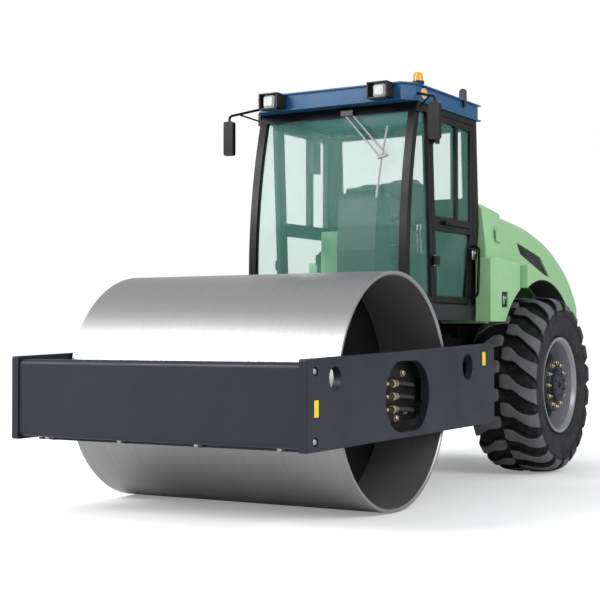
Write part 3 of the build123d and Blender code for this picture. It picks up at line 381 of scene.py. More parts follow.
class Finish:
    """One node material, built in steps round a Principled shader."""

    def __init__(self, name, colour, roughness, **sockets):
        self.material = bpy.data.materials.new(name)
        self.material.use_nodes = True
        self.tree = self.material.node_tree
        self.shader = self.tree.nodes["Principled BSDF"]
        self.colour = (*colour, 1.0)
        self.shader.inputs["Base Color"].default_value = self.colour
        self.shader.inputs["Roughness"].default_value = roughness
        for key, value in sockets.items():
            self.shader.inputs[key.replace("_", " ")].default_value = value
        self.colour_out = None
        self.place = self.node("TexCoord", output="Object")

    def node(self, kind, inputs=None, output=0, **settings):
        """One output of a new node in this material."""
        return add_node(self.tree, kind, inputs, **settings).outputs[output]

    def drive(self, socket, value):
        """Links a value to one of the shader's sockets."""
        self.tree.links.new(value, self.shader.inputs[socket])
        return self

    def maths(self, operation, first, second):
        """What an operation makes of two values."""
        return self.node("Math", {0: first, 1: second}, operation=operation)

    def length(self, vector):
        """The length of a vector."""
        return self.node("VectorMath", {0: vector}, "Value", operation="LENGTH")

    def coordinate(self, number):
        """X, Y or Z of the place, by its number."""
        return self.node("SeparateXYZ", {0: self.place}, number)

    def stretched(self, scale):
        """The piece's coordinates, stretched by a scale in each direction."""
        return self.node("Mapping", {"Vector": self.place, "Scale": scale})

    def noise(self, scale, detail, roughness, vector=None):
        """Cloudy noise of a scale, from 0 to 1."""
        return self.node("TexNoise", {"Vector": vector or self.place, "Scale": scale,
                                      "Detail": detail, "Roughness": roughness})

    def waves(self, scale, direction="X", distortion=0.0):
        """Straight waves across a direction, from 0 to 1."""
        return self.node("TexWave", {"Vector": self.place, "Scale": scale,
                                     "Distortion": distortion}, 1, bands_direction=direction)

    def spread(self, value, low, high, to_low=0.0, to_high=1.0):
        """The value's part between two levels, drawn out to two others."""
        return self.node("MapRange", {"Value": value, "From Min": low, "From Max": high,
                                      "To Min": to_low, "To Max": to_high})

    def blended(self, factor, other):
        """Mixes another colour in by a factor."""
        colours = {0: factor, 6: self.colour_out or self.colour, 7: (*other, 1.0)}
        self.colour_out = self.node("Mix", colours, 2, data_type="RGBA")
        return self.drive("Base Color", self.colour_out)

    def shade(self, amount):
        """The finish's own colour times an amount, up to white."""
        return tuple(min(1.0, c * amount) for c in self.colour[:3])

    def mottled(self, amount, scale):
        """Lighter and darker clouds of the same colour."""
        clouds = self.spread(self.noise(scale, 4.0, 0.6), 0.35, 0.7)
        return self.blended(clouds, self.shade(1 - amount))

    def rough_between(self, low, high, scale, vector=None):
        """Roughness that drifts between two values."""
        drift = self.spread(self.noise(scale, 3.0, 0.5, vector), 0.3, 0.7, low, high)
        return self.drive("Roughness", drift)

    def grained(self, scale, strength, distance):
        """Fine relief from noise."""
        return self.raised(self.noise(scale, 2.0, 0.5), strength, distance)

    def raised(self, height, strength, distance):
        """Relief from a height."""
        return self.drive("Normal", self.node("Bump", {"Height": height, "Strength": strength,
                                                       "Distance": distance}))

    def dusty(self, amount):
        """Dust that thins out with height above the ground, broken up by noise."""
        low = self.spread(self.coordinate(2), 0.0, DUST_TOP, 1.0, 0.0)
        cloud = self.spread(self.noise(5.0, 5.0, 0.65), 0.35, 0.75, 0.2, 1.0)
        share = self.maths("MULTIPLY", low, cloud)
        return self.blended(self.maths("MULTIPLY", share, amount), linear(120, 117, 112))


def sprayed_paint(name, colour, roughness, clouds, dust, gloss):
    """Sprayed paint: faint clouds, a fine orange-peel relief and a little dust low down."""
    finish = Finish(name, colour, roughness, Specular_IOR_Level=gloss)
    finish.mottled(clouds, 2.2).rough_between(roughness - 0.06, roughness + 0.08, 3.0)
    finish.grained(260.0, 0.06, 0.0006)
    if dust:
        finish.dusty(dust)
    return finish.material


def paint_to_height(name, above, below, height, roughness, **sockets):
    """Paint of one colour above a height and another below it."""
    finish = Finish(name, above, roughness, **sockets).mottled(0.05, 2.2)
    lower = finish.spread(finish.coordinate(2), height - 0.002, height + 0.002, 1.0, 0.0)
    return finish.blended(lower, below).grained(260.0, 0.06, 0.0006).material


def rolled_steel(name, colour):
    """Bare rolled steel: fine lines round the drum, and broad worn patches."""
    finish = Finish(name, colour, 0.42, Metallic=0.75)
    around = finish.stretched((160.0, 0.9, 0.9))
    fine = finish.stretched((420.0, 6.0, 6.0))
    finish.blended(finish.spread(finish.noise(1.0, 5.0, 0.65, around), 0.3, 0.75, 0.0, 0.42),
                   finish.shade(0.6))
    finish.blended(finish.spread(finish.noise(1.7, 4.0, 0.6), 0.5, 0.8, 0.0, 0.25),
                   finish.shade(1.3))
    finish.rough_between(0.36, 0.5, 1.0, around)
    return finish.raised(finish.noise(1.0, 3.0, 0.6, fine), 0.08, 0.0008).material


def tyre_rubber(name, colour):
    """Tyre rubber: dull black with grey dust in patches and a fine pebbled relief."""
    finish = Finish(name, colour, 0.72, Specular_IOR_Level=0.25).mottled(0.3, 9.0)
    scuffs = finish.spread(finish.noise(14.0, 6.0, 0.7), 0.5, 0.85, 0.0, 0.25)
    finish.blended(scuffs, linear(104, 104, 106)).rough_between(0.62, 0.85, 6.0)
    return finish.grained(90.0, 0.25, 0.0015).material


def moulded(name, colour, roughness=0.55, grain=0.2):
    """Moulded plastic with a leather-like grain."""
    finish = Finish(name, colour, roughness).mottled(0.12, 6.0)
    return finish.grained(340.0, grain, 0.0008).material


def tinted_glass(name, colour, alpha):
    """Tinted glass: a see-through film of colour with a smooth surface."""
    finish = Finish(name, colour, 0.04, Alpha=alpha, Specular_IOR_Level=0.12).mottled(0.06, 1.6)
    finish.material.surface_render_method = "BLENDED"
    return finish.material


def woven(name, colour):
    """Woven cover: threads both ways, their crests lightened as a painted highlight."""
    finish = Finish(name, colour, 0.85, Sheen_Weight=0.35)
    cross = finish.maths("MAXIMUM", finish.waves(130.0, "X", 0.4), finish.waves(130.0, "Y", 0.4))
    # Painted highlight: the threads' crests are mixed towards a lighter colour
    finish.blended(finish.spread(cross, 0.4, 1.0, 0.0, 0.5), finish.shade(2.0))
    return finish.raised(cross, 0.3, 0.001).material


def plated(name, colour, roughness):
    """Plated or bare bright metal with a faint drift in its gloss."""
    finish = Finish(name, colour, roughness, Metallic=1.0).mottled(0.15, 30.0)
    return finish.rough_between(roughness * 0.7, roughness * 1.5, 25.0).material


def wheel_paint(name, silver, dark, radius):
    """Silver rim paint that turns to dark paint inside a radius about the axle."""
    finish = Finish(name, silver, 0.38, Metallic=0.35, Coat_Weight=0.2).mottled(0.12, 5.0)
    flat = finish.node("CombineXYZ", {
        1: finish.maths("SUBTRACT", finish.coordinate(1), AXLE_Y),
        2: finish.maths("SUBTRACT", finish.coordinate(2), AXLE_Z)})
    inside = finish.spread(finish.length(flat), radius, radius + 0.004, 1.0, 0.0)
    return finish.blended(inside, dark).grained(300.0, 0.05, 0.0005).material


def ribbed_lens(name, colour, alpha):
    """Clear lamp lens with upright flutes."""
    finish = Finish(name, colour, 0.08, Alpha=alpha, Coat_Weight=0.6)
    return finish.raised(finish.waves(38.0), 0.5, 0.002).material


def ringed_lens(name, colour):
    """Coloured lens, a little lit from within, with rings round it."""
    finish = Finish(name, colour, 0.12, Coat_Weight=0.8, Coat_Roughness=0.03,
                    Subsurface_Weight=0.15)
    return finish.raised(finish.waves(45.0, "Z"), 0.35, 0.0015).material


# Settings

def tint(name, about, *levels):
    """A colour for the panel, given by its screen levels."""
    return bpy.props.FloatVectorProperty(name=name, description=about, subtype="COLOR", size=3,
                                         min=0.0, max=1.0, default=linear(*levels))


def length(name, about, low, high, usual):
    """A length for the panel, in metres."""
    return bpy.props.FloatProperty(name=name, description=about, subtype="DISTANCE",
                                   unit="LENGTH", min=low, max=high, default=usual)


class PaintSettings(bpy.types.PropertyGroup):
    """Colours of the machine."""

    body: tint("Body", "Colour of hood, fenders and side boxes", 154, 203, 149)
    frame_slate: tint("Front frame", "Colour of the drum's frame", 33, 37, 46)
    roof: tint("Roof", "Colour of the cab's roof", 36, 88, 130)
    cab: tint("Cab frame", "Colour of the cab's frame and doors", 15, 14, 16)
    rim: tint("Rims", "Colour of the rear rims", 148, 148, 154)
    glass: tint("Glass", "Tint of the windows", 134, 206, 186)
    glass_cover: bpy.props.FloatProperty(
        name="Glass cover", description="How much of what is behind the tint hides",
        subtype="FACTOR", min=0.0, max=1.0, default=0.125)


class TyreSettings(bpy.types.PropertyGroup):
    """Sizes of the rear tyres' tread."""

    lugs: bpy.props.IntProperty(
        name="Lugs in a row", description="Lugs in each of the two rows", min=12, max=40,
        default=20)
    lug_height: length("Lug height", "Height of a lug above the carcass", 0.01, 0.06, 0.036)
    hook: length("Hook", "How far a lug's tail trails its head round the tyre", 0.0, 0.2, 0.115)


class FittingSettings(bpy.types.PropertyGroup):
    """Sizes of the small fittings."""

    bolt_across: length("Bolt size", "Size across the flats of the frame's bolts", 0.01, 0.06,
                        0.034)
    pipe_radius: length("Pipe radius", "Radius of the pipes at the drum's drive", 0.005, 0.04,
                        0.017)
    wheel_nuts: bpy.props.IntProperty(
        name="Wheel nuts", description="Nuts on each rear wheel", min=5, max=20, default=12)


class ROLLER_OT_finishes(bpy.types.Operator):
    """Makes every material and puts one on each carried-over node"""

    bl_idname = "roller.finishes"
    bl_label = "Finishes"

    def execute(self, context):
        paint = context.scene.roller_paint
        black = linear(19, 19, 21)
        MADE.update({
            "slate": sprayed_paint("slate frame paint", paint.frame_slate, 0.45, 0.1, 0.03, 0.3),
            "black": sprayed_paint("black chassis paint", black, 0.5, 0.2, 0.05, 0.25),
            "cast": sprayed_paint("engine casting", linear(60, 62, 64), 0.6, 0.3, 0.1, 0.3),
            "drum": rolled_steel("rolled drum steel", linear(168, 167, 167)),
            "drum inside": sprayed_paint("black drum head", linear(18, 18, 20), 0.6, 0.2, 0.03,
                                         0.2),
            "cab": sprayed_paint("black cab paint", paint.cab, 0.36, 0.08, 0.0, 0.18),
            "sill": sprayed_paint("grey sill paint", linear(44, 43, 47), 0.45, 0.1, 0.03, 0.3),
            "roof": sprayed_paint("blue roof paint", paint.roof, 0.38, 0.08, 0.0, 0.25),
            "body": sprayed_paint("light green paint", paint.body, 0.36, 0.04, 0.0, 0.4),
            "bulkhead": paint_to_height("green over black paint", paint.body, black,
                                        BULKHEAD_GREEN_Z, 0.38, Specular_IOR_Level=0.4),
            # Below the motor's height the dark wiper arms are given a light grey, slightly metallic
            # colour, which is a painted highlight
            "wiper": paint_to_height("black over highlight grey metal", linear(16, 16, 18),
                                     linear(150, 150, 152), WIPER_MOTOR_Z, 0.35, Metallic=0.3),
            "glass": tinted_glass("green window glass", paint.glass, paint.glass_cover),
            "lamp black": moulded("black lamp plastic", linear(24, 24, 26), 0.5, 0.15),
            "lens": ribbed_lens("clear lamp lens", linear(232, 236, 238), 0.55),
            "amber": ringed_lens("amber lens", linear(250, 160, 18)),
            "red": ringed_lens("red lens", linear(190, 22, 18)),
            "bright": plated("bare satin metal", linear(190, 190, 192), 0.3),
            "white": moulded("white lamp ring", linear(228, 226, 220), 0.35, 0.03),
            "zinc": plated("cream zinc plating", linear(214, 203, 172), 0.35),
            "chrome": plated("hard chrome", linear(214, 214, 217), 0.1),
            "cover": woven("dark seat cover", linear(48, 48, 52)),
            "plastic": moulded("dark cab plastic", linear(34, 36, 38)),
            "grille": moulded("black grille", linear(38, 38, 40), 0.6, 0.1),
            "rubber": tyre_rubber("tyre wall rubber", linear(44, 44, 46)),
            "tread": tyre_rubber("worn tread rubber", linear(104, 104, 107)),
            # Painted shade: much darker rubber for the grooves and the lugs' flanks
            "groove": tyre_rubber("groove rubber with painted shade", linear(17, 17, 18)),
            "hose": moulded("black pipe cover", linear(30, 30, 32), 0.55, 0.1),
            "label": moulded("blank yellow sheet", linear(240, 212, 30), 0.4, 0.03),
            "screen": moulded("dark instrument glass", linear(20, 26, 30), 0.15, 0.0),
            "rim": wheel_paint("silver rim paint", paint.rim, linear(30, 33, 42), RIM_DARK_R),
        })
        worn = {
            "slate": "side_plate_left side_plate_right front_beam cross_beam scrapers yoke"
                     " counterweight",
            "black": "chassis rear_axle drum_carriers steps steer_barrel_left steer_barrel_right",
            "cast": "engine",
            "drum": "drum_shell",
            "drum inside": "drum_heads",
            "cab": "cab_frame door_frame_left door_frame_right grab_handles mirrors",
            "sill": "cab_floor",
            "roof": "roof",
            "glass": "cab_glass door_glass_left door_glass_right",
            "lamp black": "roof_lamps",
            "lens": "lamp_lenses",
            "amber": "amber_lamps",
            "wiper": "wiper",
            "bulkhead": "bulkhead",
            "plastic": "console steering_wheel",
            "body": "side_cabinet side_boxes hood_shell rear_fenders",
            "grille": "hood_grilles",
            "cover": "seat",
            "rubber": "tyre_left tyre_right",
            "rim": "wheel_rim_left wheel_rim_right",
            "chrome": "steer_rod_left steer_rod_right",
        }
        for name, nodes in worn.items():
            for node in nodes.split():
                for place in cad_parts[node].material_slots:
                    place.material = MADE[name]
        return {"FINISHED"}


# Tyres

def carcass_line(count):
    """Half of the tyre's section as (across, radius), from the crown to the bead."""
    points = [(0.0, 0.714), (0.12, 0.711), (0.195, 0.701), (0.242, 0.679), (0.270, 0.640),
              (0.2825, 0.580), (0.280, 0.505), (0.262, 0.448), (0.236, 0.404)]
    return through(np.array(points) * SECTION_SCALE, count)


def carcass():
    """The tyre without its lugs: the section, with rings on the wall, turned about the axle."""
    half = carcass_line(46)
    ripple = 0.0022 * np.sin(np.clip((half[:, 1] - 0.47) / 0.16, 0, 1) * 6 * pi) ** 2
    half = half + np.column_stack([ripple, np.zeros(len(half))])
    bead = np.array([(-0.21, 0.399), (0.21, 0.399)]) * SECTION_SCALE
    section = np.vstack([half[::-1], half[1:] * (-1, 1), bead])
    return turned(section, (TYRE_X, AXLE_Y, AXLE_Z), LEFT, 120, closed=True)


def wall_or_groove(form):
    """A finish number for each face: the wall's up to a radius about the axle, and beyond it the
    groove's painted shade.
    """
    points, faces = form
    reach = np.hypot(points[:, 1] - AXLE_Y, points[:, 2] - AXLE_Z)
    middles = np.array([reach[list(f)].mean() for f in faces])
    return np.where(middles > WALL_R * SECTION_SCALE[1], GROOVE_SHADE, WALL).tolist()


def lug_row(settings, side, shift):
    """One row of lugs, each with its faces' finish numbers.

    A lug has a broad head at the crown and a narrow neck, hooks back over the shoulder, and
    spreads on the wall until it meets its neighbours, so that the grooves end round there.
    """
    line = carcass_line(300)
    along = np.concatenate([[0], np.cumsum(np.linalg.norm(np.diff(line, axis=0), axis=1))])
    s, share, rise, back = LUG_STATIONS.T
    across, trim, drop, base = LUG_SECTION.T
    x, r = np.interp(s, along, line[:, 0]), np.interp(s, along, line[:, 1])
    slope = unit(np.gradient(line, axis=0))
    nx, nr = np.interp(s, along, -slope[:, 1]), np.interp(s, along, slope[:, 0])
    rise = (rise * settings.lug_height)[:, None]
    width = share * pi * TYRE_R / settings.lugs
    high = np.minimum(np.where(base > 0, LUG_ROOT, rise - drop), rise)
    d = across * (width[:, None] + trim) + (back * settings.hook)[:, None]
    px = np.minimum(x[:, None] + nx[:, None] * high, TYRE_HALF)
    pr = np.minimum(r[:, None] + nr[:, None] * high, TYRE_R)
    corners = len(across)
    made = []
    for start in shift + np.arange(settings.lugs) * 2 * pi / settings.lugs:
        form = loft(np.stack([TYRE_X + side * px, *round_axle(pr, start + d / TYRE_R)], -1))
        # A lug's top takes the tread finish, and its flanks keep the groove's painted shade
        marks = [TREAD if mark == GROOVE_SHADE and i < corners * (len(s) - 1) and i % corners in (1, 2, 3)
                 else mark for i, mark in enumerate(wall_or_groove(form))]
        made.append((form, marks))
    return made


def circle_of(count, radius, x, offset=0.0):
    """Places set evenly round the wheels' axle."""
    return [(x, *round_axle(radius, 2 * pi * (i + offset) / count)) for i in range(count)]


def hub_forms(nuts):
    """The wheel's disc, the drum that carries its nuts, and the round cover."""
    seat, face, front = 0.925, 1.048, 1.095
    nut_circle, screw_circle, screws = 0.186, 0.098, 8
    deep, whole = face - seat, front - seat
    profile = [(0.0, 0.341), (0.012, 0.341), (0.014, 0.240), (deep - 0.010, 0.226),
               (deep, 0.218), (deep, 0.152), (deep + 0.012, 0.140), (whole - 0.010, 0.136),
               (whole, 0.122), (whole, 0.02)]
    cap = [(0.0, 0.030), (0.006, 0.030), (0.008, 0.026), (0.008, 0.014), (0.016, 0.014),
           (0.018, 0.011)]
    forms = [(turned(profile, (seat, AXLE_Y, AXLE_Z), LEFT, 72), 0)]
    for place in circle_of(nuts, nut_circle, face):
        forms.append((hexagon(place, LEFT, 0.030, 0.020, 0.019), 1))
        forms.append((stud(place, LEFT, 0.009, 0.037, 12, (0.003, 0.002)), 1))
    for place in circle_of(screws, screw_circle, front, 0.5):
        forms.append((hexagon(place, LEFT, 0.018, 0.009), 0))
    forms.append((turned(cap, (front, AXLE_Y, AXLE_Z), LEFT, 24), 0))
    return forms


class ROLLER_OT_tyres(bpy.types.Operator):
    """Tyres with two rows of hooked lugs, and the covers and nuts of their hubs"""

    bl_idname = "roller.tyres"
    bl_label = "Tyres and hubs"

    def execute(self, context):
        settings = context.scene.roller_tyre
        body = carcass()
        forms = [(body, wall_or_groove(body))] + lug_row(settings, 1, 0.0)
        forms += lug_row(settings, -1, pi / settings.lugs)
        fittings = hub_forms(context.scene.roller_fittings.wheel_nuts)
        for name, flip in SIDES:
            tyre, hub = Piece(flip), Piece(flip)
            for form, marks in forms:
                tyre.add(form, marks)
            made = tyre.make(f"tread_{name}", ["rubber", "tread", "groove"], "tyre",
                             f"wheel_{name}", 32)
            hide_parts(f"tyre_{name}")
            for form, mark in fittings:
                hub.add(form, mark)
            hub.make(f"hub_cover_{name}", ["slate", "zinc"], "chassis_paint", f"wheel_{name}")
        return {"FINISHED"}


# Front frame

def drive_pipes(radius):
    """Steel pipes with plated nuts, from a block on the carrier to the rear of the hole."""
    hose, zinc, black = 0, 1, 2
    x, y, middle, pitch = 1.024, -1.815, 0.770, 0.085
    run = x + 0.054
    work = Piece()
    work.both(plate((0.11, 0.30, 0.02), (x, y, middle), LEFT, 0.022, 0.004), black)
    for z in (middle - pitch, middle, middle + pitch):
        path = through([(1.040, y, z), (1.066, y + 0.006, z), (run, y + 0.045, z),
                        (run, y + 0.16, z), (1.076, y + 0.30, z - 0.01),
                        (1.060, y + 0.40, z - 0.02), (1.030, y + 0.45, z - 0.02)], 60)
        work.both(swept(path, radius), hose)
        for at, across in ((0.055, 0.050), (0.105, 0.042)):
            work.both(hexagon((run, y + at, z), BACK, across, 0.032), zinc)
        work.both(hexagon((1.044, y, z), LEFT, 0.05, 0.016, 0.03), zinc)
        work.both(stud((1.060, y, z), LEFT, 0.013, 0.026), zinc)
    for bolt_y, bolt_z in ((-1.735, 0.925), (-1.60, 0.62), (-1.50, 0.915), (-1.46, 0.66)):
        work.both(hexagon((x, bolt_y, bolt_z), LEFT, 0.036, 0.018, 0.024), zinc)
    work.make("drive_pipes", ["hose", "zinc", "black"], "chassis_paint", "front_frame", 34)


class ROLLER_OT_frame_fittings(bpy.types.Operator):
    """Bolts, blank yellow sheets and the drum's pipes on the front frame"""

    bl_idname = "roller.frame_fittings"
    bl_label = "Front frame fittings"

    def execute(self, context):
        fittings = context.scene.roller_fittings
        recess, carrier_face = PLATE_X - 0.0225, PLATE_X - 0.056
        bolts = Piece()
        for z in (0.547, 0.960):
            bolts.both(hexagon((recess, PLATE_FRONT + 0.098, z), LEFT, fittings.bolt_across,
                               0.017, 0.026))
        for x in (-0.9, -0.3, 0.3, 0.9):
            bolts.add(hexagon((x, PLATE_FRONT + 0.085, 0.503), DOWN, 0.026, 0.012, 0.018))
        for dy in (-0.38, 0.38):
            for dz in (-0.13, 0.13):
                bolts.both(hexagon((carrier_face, DRUM_Y + dy, DRUM_Z + dz), RIGHT, 0.03, 0.014,
                                   0.022))
        bolts.make("frame_bolts", ["bright"], "bright_metal", "front_frame")
        sheets = Piece()
        for width, y, z in ((0.052, -2.842, 0.741), (0.060, -0.367, 0.999)):
            sheets.both(plate((width, 0.100, 0.006), (PLATE_X - 0.0002, y, z), LEFT, 0.0009))
        sheets.make("blank_sheets", ["label"], "amber_lens", "front_frame")
        drive_pipes(fittings.pipe_radius)
        return {"FINISHED"}


# Cab

def door_latches():
    """A keyed plate and two hinge barrels on each door."""
    x, y = 0.7235, 0.3825
    for name, flip in SIDES:
        latch = Piece(flip)
        latch.add(plate((0.034, 0.074, 0.010), (x, y, 1.821), LEFT, 0.010, 0.003))
        latch.add(stud((x + 0.0095, y, 1.836), LEFT, 0.013, 0.016, 20))
        latch.add(stud((x + 0.0095, y, 1.800), LEFT, 0.008, 0.007, 16, (0.001, 0.002)), 1)
        for z in (1.745, 2.682):
            latch.add(stud((0.709, -0.300, z - 0.043), UP, 0.009, 0.086))
        latch.make(f"door_latch_{name}", ["bright", "lamp black"], "bright_metal", f"door_{name}")


def work_lamps():
    """Deep black hoods on the roof's lamp housings, each with a bezel and a square lens."""
    low, high = box_of("roof_lamps")
    front, z0, z1 = low[1], low[2] - 0.010, high[2] + 0.010
    x, half, wall, depth, set_back = 0.478, 0.084, 0.009, 0.092, 0.042
    x0, x1, tip, middle = x - half, x + half, front - depth, (z0 + z1) / 2
    lamp = Piece()
    for left, right, bottom, top in ((x0, x1, z1 - wall, z1), (x0, x1, z0, z0 + wall),
                                     (x0, x0 + wall, z0, z1), (x1 - wall, x1, z0, z1)):
        lamp.both(block((left, tip, bottom), (right, front + 0.002, top)))
    lamp.both(block((x0 + wall, tip + set_back, z0 + wall), (x1 - wall, front, z1 - wall)))
    bezel, lens = (0.102, 0.100, 0.022), (0.090, 0.088, 0.020)
    seat = tip + set_back
    lamp.both(plate(bezel, (x + 0.008, seat, middle), FORWARD, 0.012, 0.004), 1)
    lamp.both(plate(lens, (x + 0.008, seat - 0.012, middle), FORWARD, 0.010, 0.008), 2)
    lamp.make("work_lamp_hoods", ["lamp black", "white", "lens"], "lamp_body", bevel=0.0015)


def amber_lamps():
    """The beacon, amber on a black foot, and the ringed indicators on the roof's sides."""
    low, high = box_of("amber_lamps")
    y = (low[1] + high[1]) / 2
    x, top, foot = 0.650, high[2], 3.065
    side = (0.688, y, 3.0025)
    collar = [(0.0, 0.044), (0.004, 0.047), (0.018, 0.047), (0.022, 0.043)]
    rise = top - foot - 0.036
    dome = [(0.0, 0.042), (rise * 0.62, 0.038)] + [
        (rise * (0.68 + 0.32 * np.sin(a)), 0.010 + 0.027 * np.cos(a))
        for a in np.linspace(0, pi / 2, 7)]
    ring = [(0.0, 0.041), (0.013, 0.041), (0.018, 0.037), (0.018, 0.034)]
    lens = [(0.016, 0.033), (0.024, 0.031), (0.031, 0.023), (0.034, 0.010)]
    lamps = Piece()
    lamps.add(turned([(0.0, 0.017), (0.020, 0.017)], (x, y, foot), UP, 20), 1)
    lamps.add(turned(collar, (x, y, foot + 0.014), UP, 40), 1)
    lamps.add(turned(dome, (x, y, foot + 0.036), UP, 40))
    lamps.both(turned(ring, side, LEFT, 36), 2)
    lamps.both(turned(lens, side, LEFT, 36))
    made = lamps.make("amber_lamp_set", ["amber", "lamp black", "white"], "amber_lens", angle=34)
    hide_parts("amber_lamps")


def mirror_glass():
    """Glass on the mirrors' rear faces."""
    low, high = box_of("mirrors")
    half_depth = 0.044
    glass = Piece()
    place = (high[0] - half_depth, low[1] + half_depth - 0.0005, 2.747)
    glass.both(plate((0.070, 0.250, 0.014), place, BACK, 0.002))
    glass.make("mirror_glass", ["chrome"], "bright_metal")


def oval_lamps():
    """Upright oval lamps on short stalks at the roof's sides, lit to the rear."""
    x, y, z = 0.690, 0.290, 3.080
    oval = Piece()
    oval.both(plate((0.060, 0.150, 0.029), (x, y, z), FORWARD, 0.026, 0.008, 8))
    oval.both(plate((0.044, 0.130, 0.021), (x, y, z), BACK, 0.004, steps=8), 1)
    oval.both(swept([(x, y - 0.010, z - 0.060), (x, y - 0.010, z - 0.080)], 0.008))
    oval.make("oval_roof_lamps", ["lamp black", "red"], "lamp_body")


def door_box():
    """A plastic box on the inside of the right door's divider."""
    holder = Piece()
    holder.add(block((-0.642, 0.100, 2.535), (-0.590, 0.215, 2.800)))
    holder.add(block((-0.646, 0.140, 2.800), (-0.612, 0.175, 2.880)))
    holder.make("door_box_right", ["plastic"], "cab_plastic", "door_right", bevel=0.008)


def dash_and_levers():
    """The console's brow and dials, and two levers on a box beside the seat."""
    plastic, screen, bright = 0, 1, 2
    low, high = box_of("console")
    middle, near, top = (low[0] + high[0]) / 2, low[1], high[2]
    dash = Piece()
    dash.add(leaned(pillow((middle, near + 0.13, top - 0.005), (0.135, 0.055, 0.018), 0.3),
                    -0.45, (middle, near + 0.13, top)), plastic)
    for dx in (-0.085, 0.0, 0.085):
        dash.add(stud((middle + dx, near + 0.175, top - 0.025), (0, 0.55, 0.84), 0.034, 0.006,
                      28, (0.002, 0.003)), screen)
    for x in (0.41, 0.44):
        stick = through([(x, 0.02, 1.80), (x + 0.01, -0.01, 1.95), (x + 0.005, 0.0, 2.06)], 14)
        dash.add(swept(stick, 0.008), bright)
        dash.add(pillow((x + 0.005, 0.0, 2.085), (0.021, 0.021, 0.032), 0.8, 24, 14), plastic)
    dash.add(block((0.385, -0.06, 1.34), (0.475, 0.28, 1.81)), plastic)
    dash.make("dash_and_levers", ["plastic", "screen", "bright"], "cab_plastic",
              angle=34, bevel=0.004)


def foot_pedals():
    """Two leaning pedals on rods from the floor."""
    y, z = -0.30, 1.41
    pedals = Piece()
    for x in (0.075, 0.335):
        pad = block((x - 0.035, y, z), (x + 0.035, y + 0.014, z + 0.15))
        pedals.add(leaned(pad, 0.6, (x, y, z)))
        pedals.add(swept([(x, -0.33, 1.345), (x, -0.31, 1.42)], 0.009), 1)
    pedals.make("pedals", ["lamp black", "bright"], "cab_plastic", "rear", 34, 0.002)


class ROLLER_OT_cab_fittings(bpy.types.Operator):
    """Latches, lamps, mirror glass, instruments and pedals of the cab"""

    bl_idname = "roller.cab_fittings"
    bl_label = "Cab fittings"

    def execute(self, context):
        door_latches()
        work_lamps()
        amber_lamps()
        mirror_glass()
        oval_lamps()
        door_box()
        dash_and_levers()
        foot_pedals()
        return {"FINISHED"}


# Seat

def pedestal(x, front, floor):
    """The seat's foot, its folded sleeve, the pan and two arm rests."""
    base = Piece()
    base.add(block((x - 0.20, front + 0.08, floor), (x + 0.20, front + 0.42, floor + 0.05)))
    heights = floor + 0.05 + np.linspace(0, 0.30, 25)
    widths = 0.165 + 0.012 * np.cos(np.linspace(0, 12 * pi, 25))
    shape = outline(2.0, 2.0, 0.35, 6)
    rings = [np.column_stack([x + shape[:, 0] * w, front + 0.25 + shape[:, 1] * w,
                              np.full(len(shape), z)]) for z, w in zip(heights, widths)]
    base.add(loft(rings))
    base.add(block((x - 0.21, front + 0.05, floor + 0.35), (x + 0.21, front + 0.43, floor + 0.42)))
    for side in (-1, 1):
        base.add(pillow((x + side * 0.235, front + 0.22, floor + 0.70), (0.018, 0.13, 0.022),
                        0.6, 28, 16))
    return base.make("seat_base", ["lamp black"], "cab_plastic", "rear", 34, 0.004)


class ROLLER_OT_seat(bpy.types.Operator):
    """The driver's seat: sewn cushion, back and head pad on a pedestal"""

    bl_idname = "roller.seat"
    bl_label = "Seat"

    def execute(self, context):
        low, high = box_of("seat")
        x, front, rear, floor = (low[0] + high[0]) / 2, low[1], high[1], low[2]
        lean = pi / 2 + 0.13
        cushion = pillow((x, front + 0.235, floor + 0.49), (0.245, 0.232, 0.075), 0.34, dish=0.22,
                         tuft=0.10)
        back = leaned(pillow((x, 0, 0), (0.228, 0.30, 0.062), 0.36, dish=0.20, tuft=0.10), lean,
                      (x, 0, 0))
        head = leaned(pillow((x, 0, 0), (0.135, 0.088, 0.040), 0.45), lean, (x, 0, 0))
        base = pedestal(x, front, floor)
        for name, form, shift in (("seat_cushion", cushion, (0, 0, 0)),
                                  ("seat_back", back, (0, rear - 0.135, floor + 0.80)),
                                  ("seat_head_pad", head, (0, rear - 0.062, floor + 1.04))):
            points, faces = form
            pad = Piece()
            pad.add((points + shift, faces))
            pad.make(name, ["cover"], "seat_cover", angle=60)
        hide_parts("seat")
        return {"FINISHED"}


# Bodywork

def box_latches():
    """A black plate in each side box's recess, with a bright latch on it."""
    face = 0.8835
    latch = Piece()
    latch.both(plate((0.128, 0.126, 0.006), (0.8515, 0.6485, 1.464), LEFT, 0.032, 0.002))
    latch.both(plate((0.030, 0.072, 0.010), (face, 0.640, 1.462), LEFT, 0.009, 0.003), 1)
    latch.both(stud((face, 0.668, 1.478), LEFT, 0.011, 0.011, 18, (0.003, 0.003)), 1)
    latch.make("box_latches", ["lamp black", "bright"], "bright_metal")


def bulkhead_vents():
    """A framed vent with five bars on each side of the bulkhead."""
    vent = Piece()
    vent.both(plate((0.120, 0.110, 0.012), (0.7425, 0.880, 2.010), LEFT, 0.014, 0.004))
    for z in 1.974 + 0.018 * np.arange(5):
        vent.both(block((0.7560, 0.838, z), (0.7590, 0.922, z + 0.007)))
    vent.make("bulkhead_vents", ["body"], "body_paint")


def louvres():
    """Upright slats behind the hood's side grilles and level ones at its rear."""
    slats, rear = Piece(), Piece()
    for t in np.linspace(0, 1, 17):
        y = AXLE_Y + 0.085 + 0.66 * t
        top = 1.965 - 0.175 * t - 0.055 * t ** 2
        slats.both(block((0.640, y, 1.885 - 0.155 * t), (0.676, y + 0.008, top)))
    slats.make("hood_louvres", ["grille"], "grille", "hood")
    for z in 1.262 + 0.0235 * np.arange(7):
        rear.add(block((-0.40, 2.893, z), (0.40, 2.906, z + 0.007)))
    rear.make("rear_louvres", ["grille"], "grille", "hood")


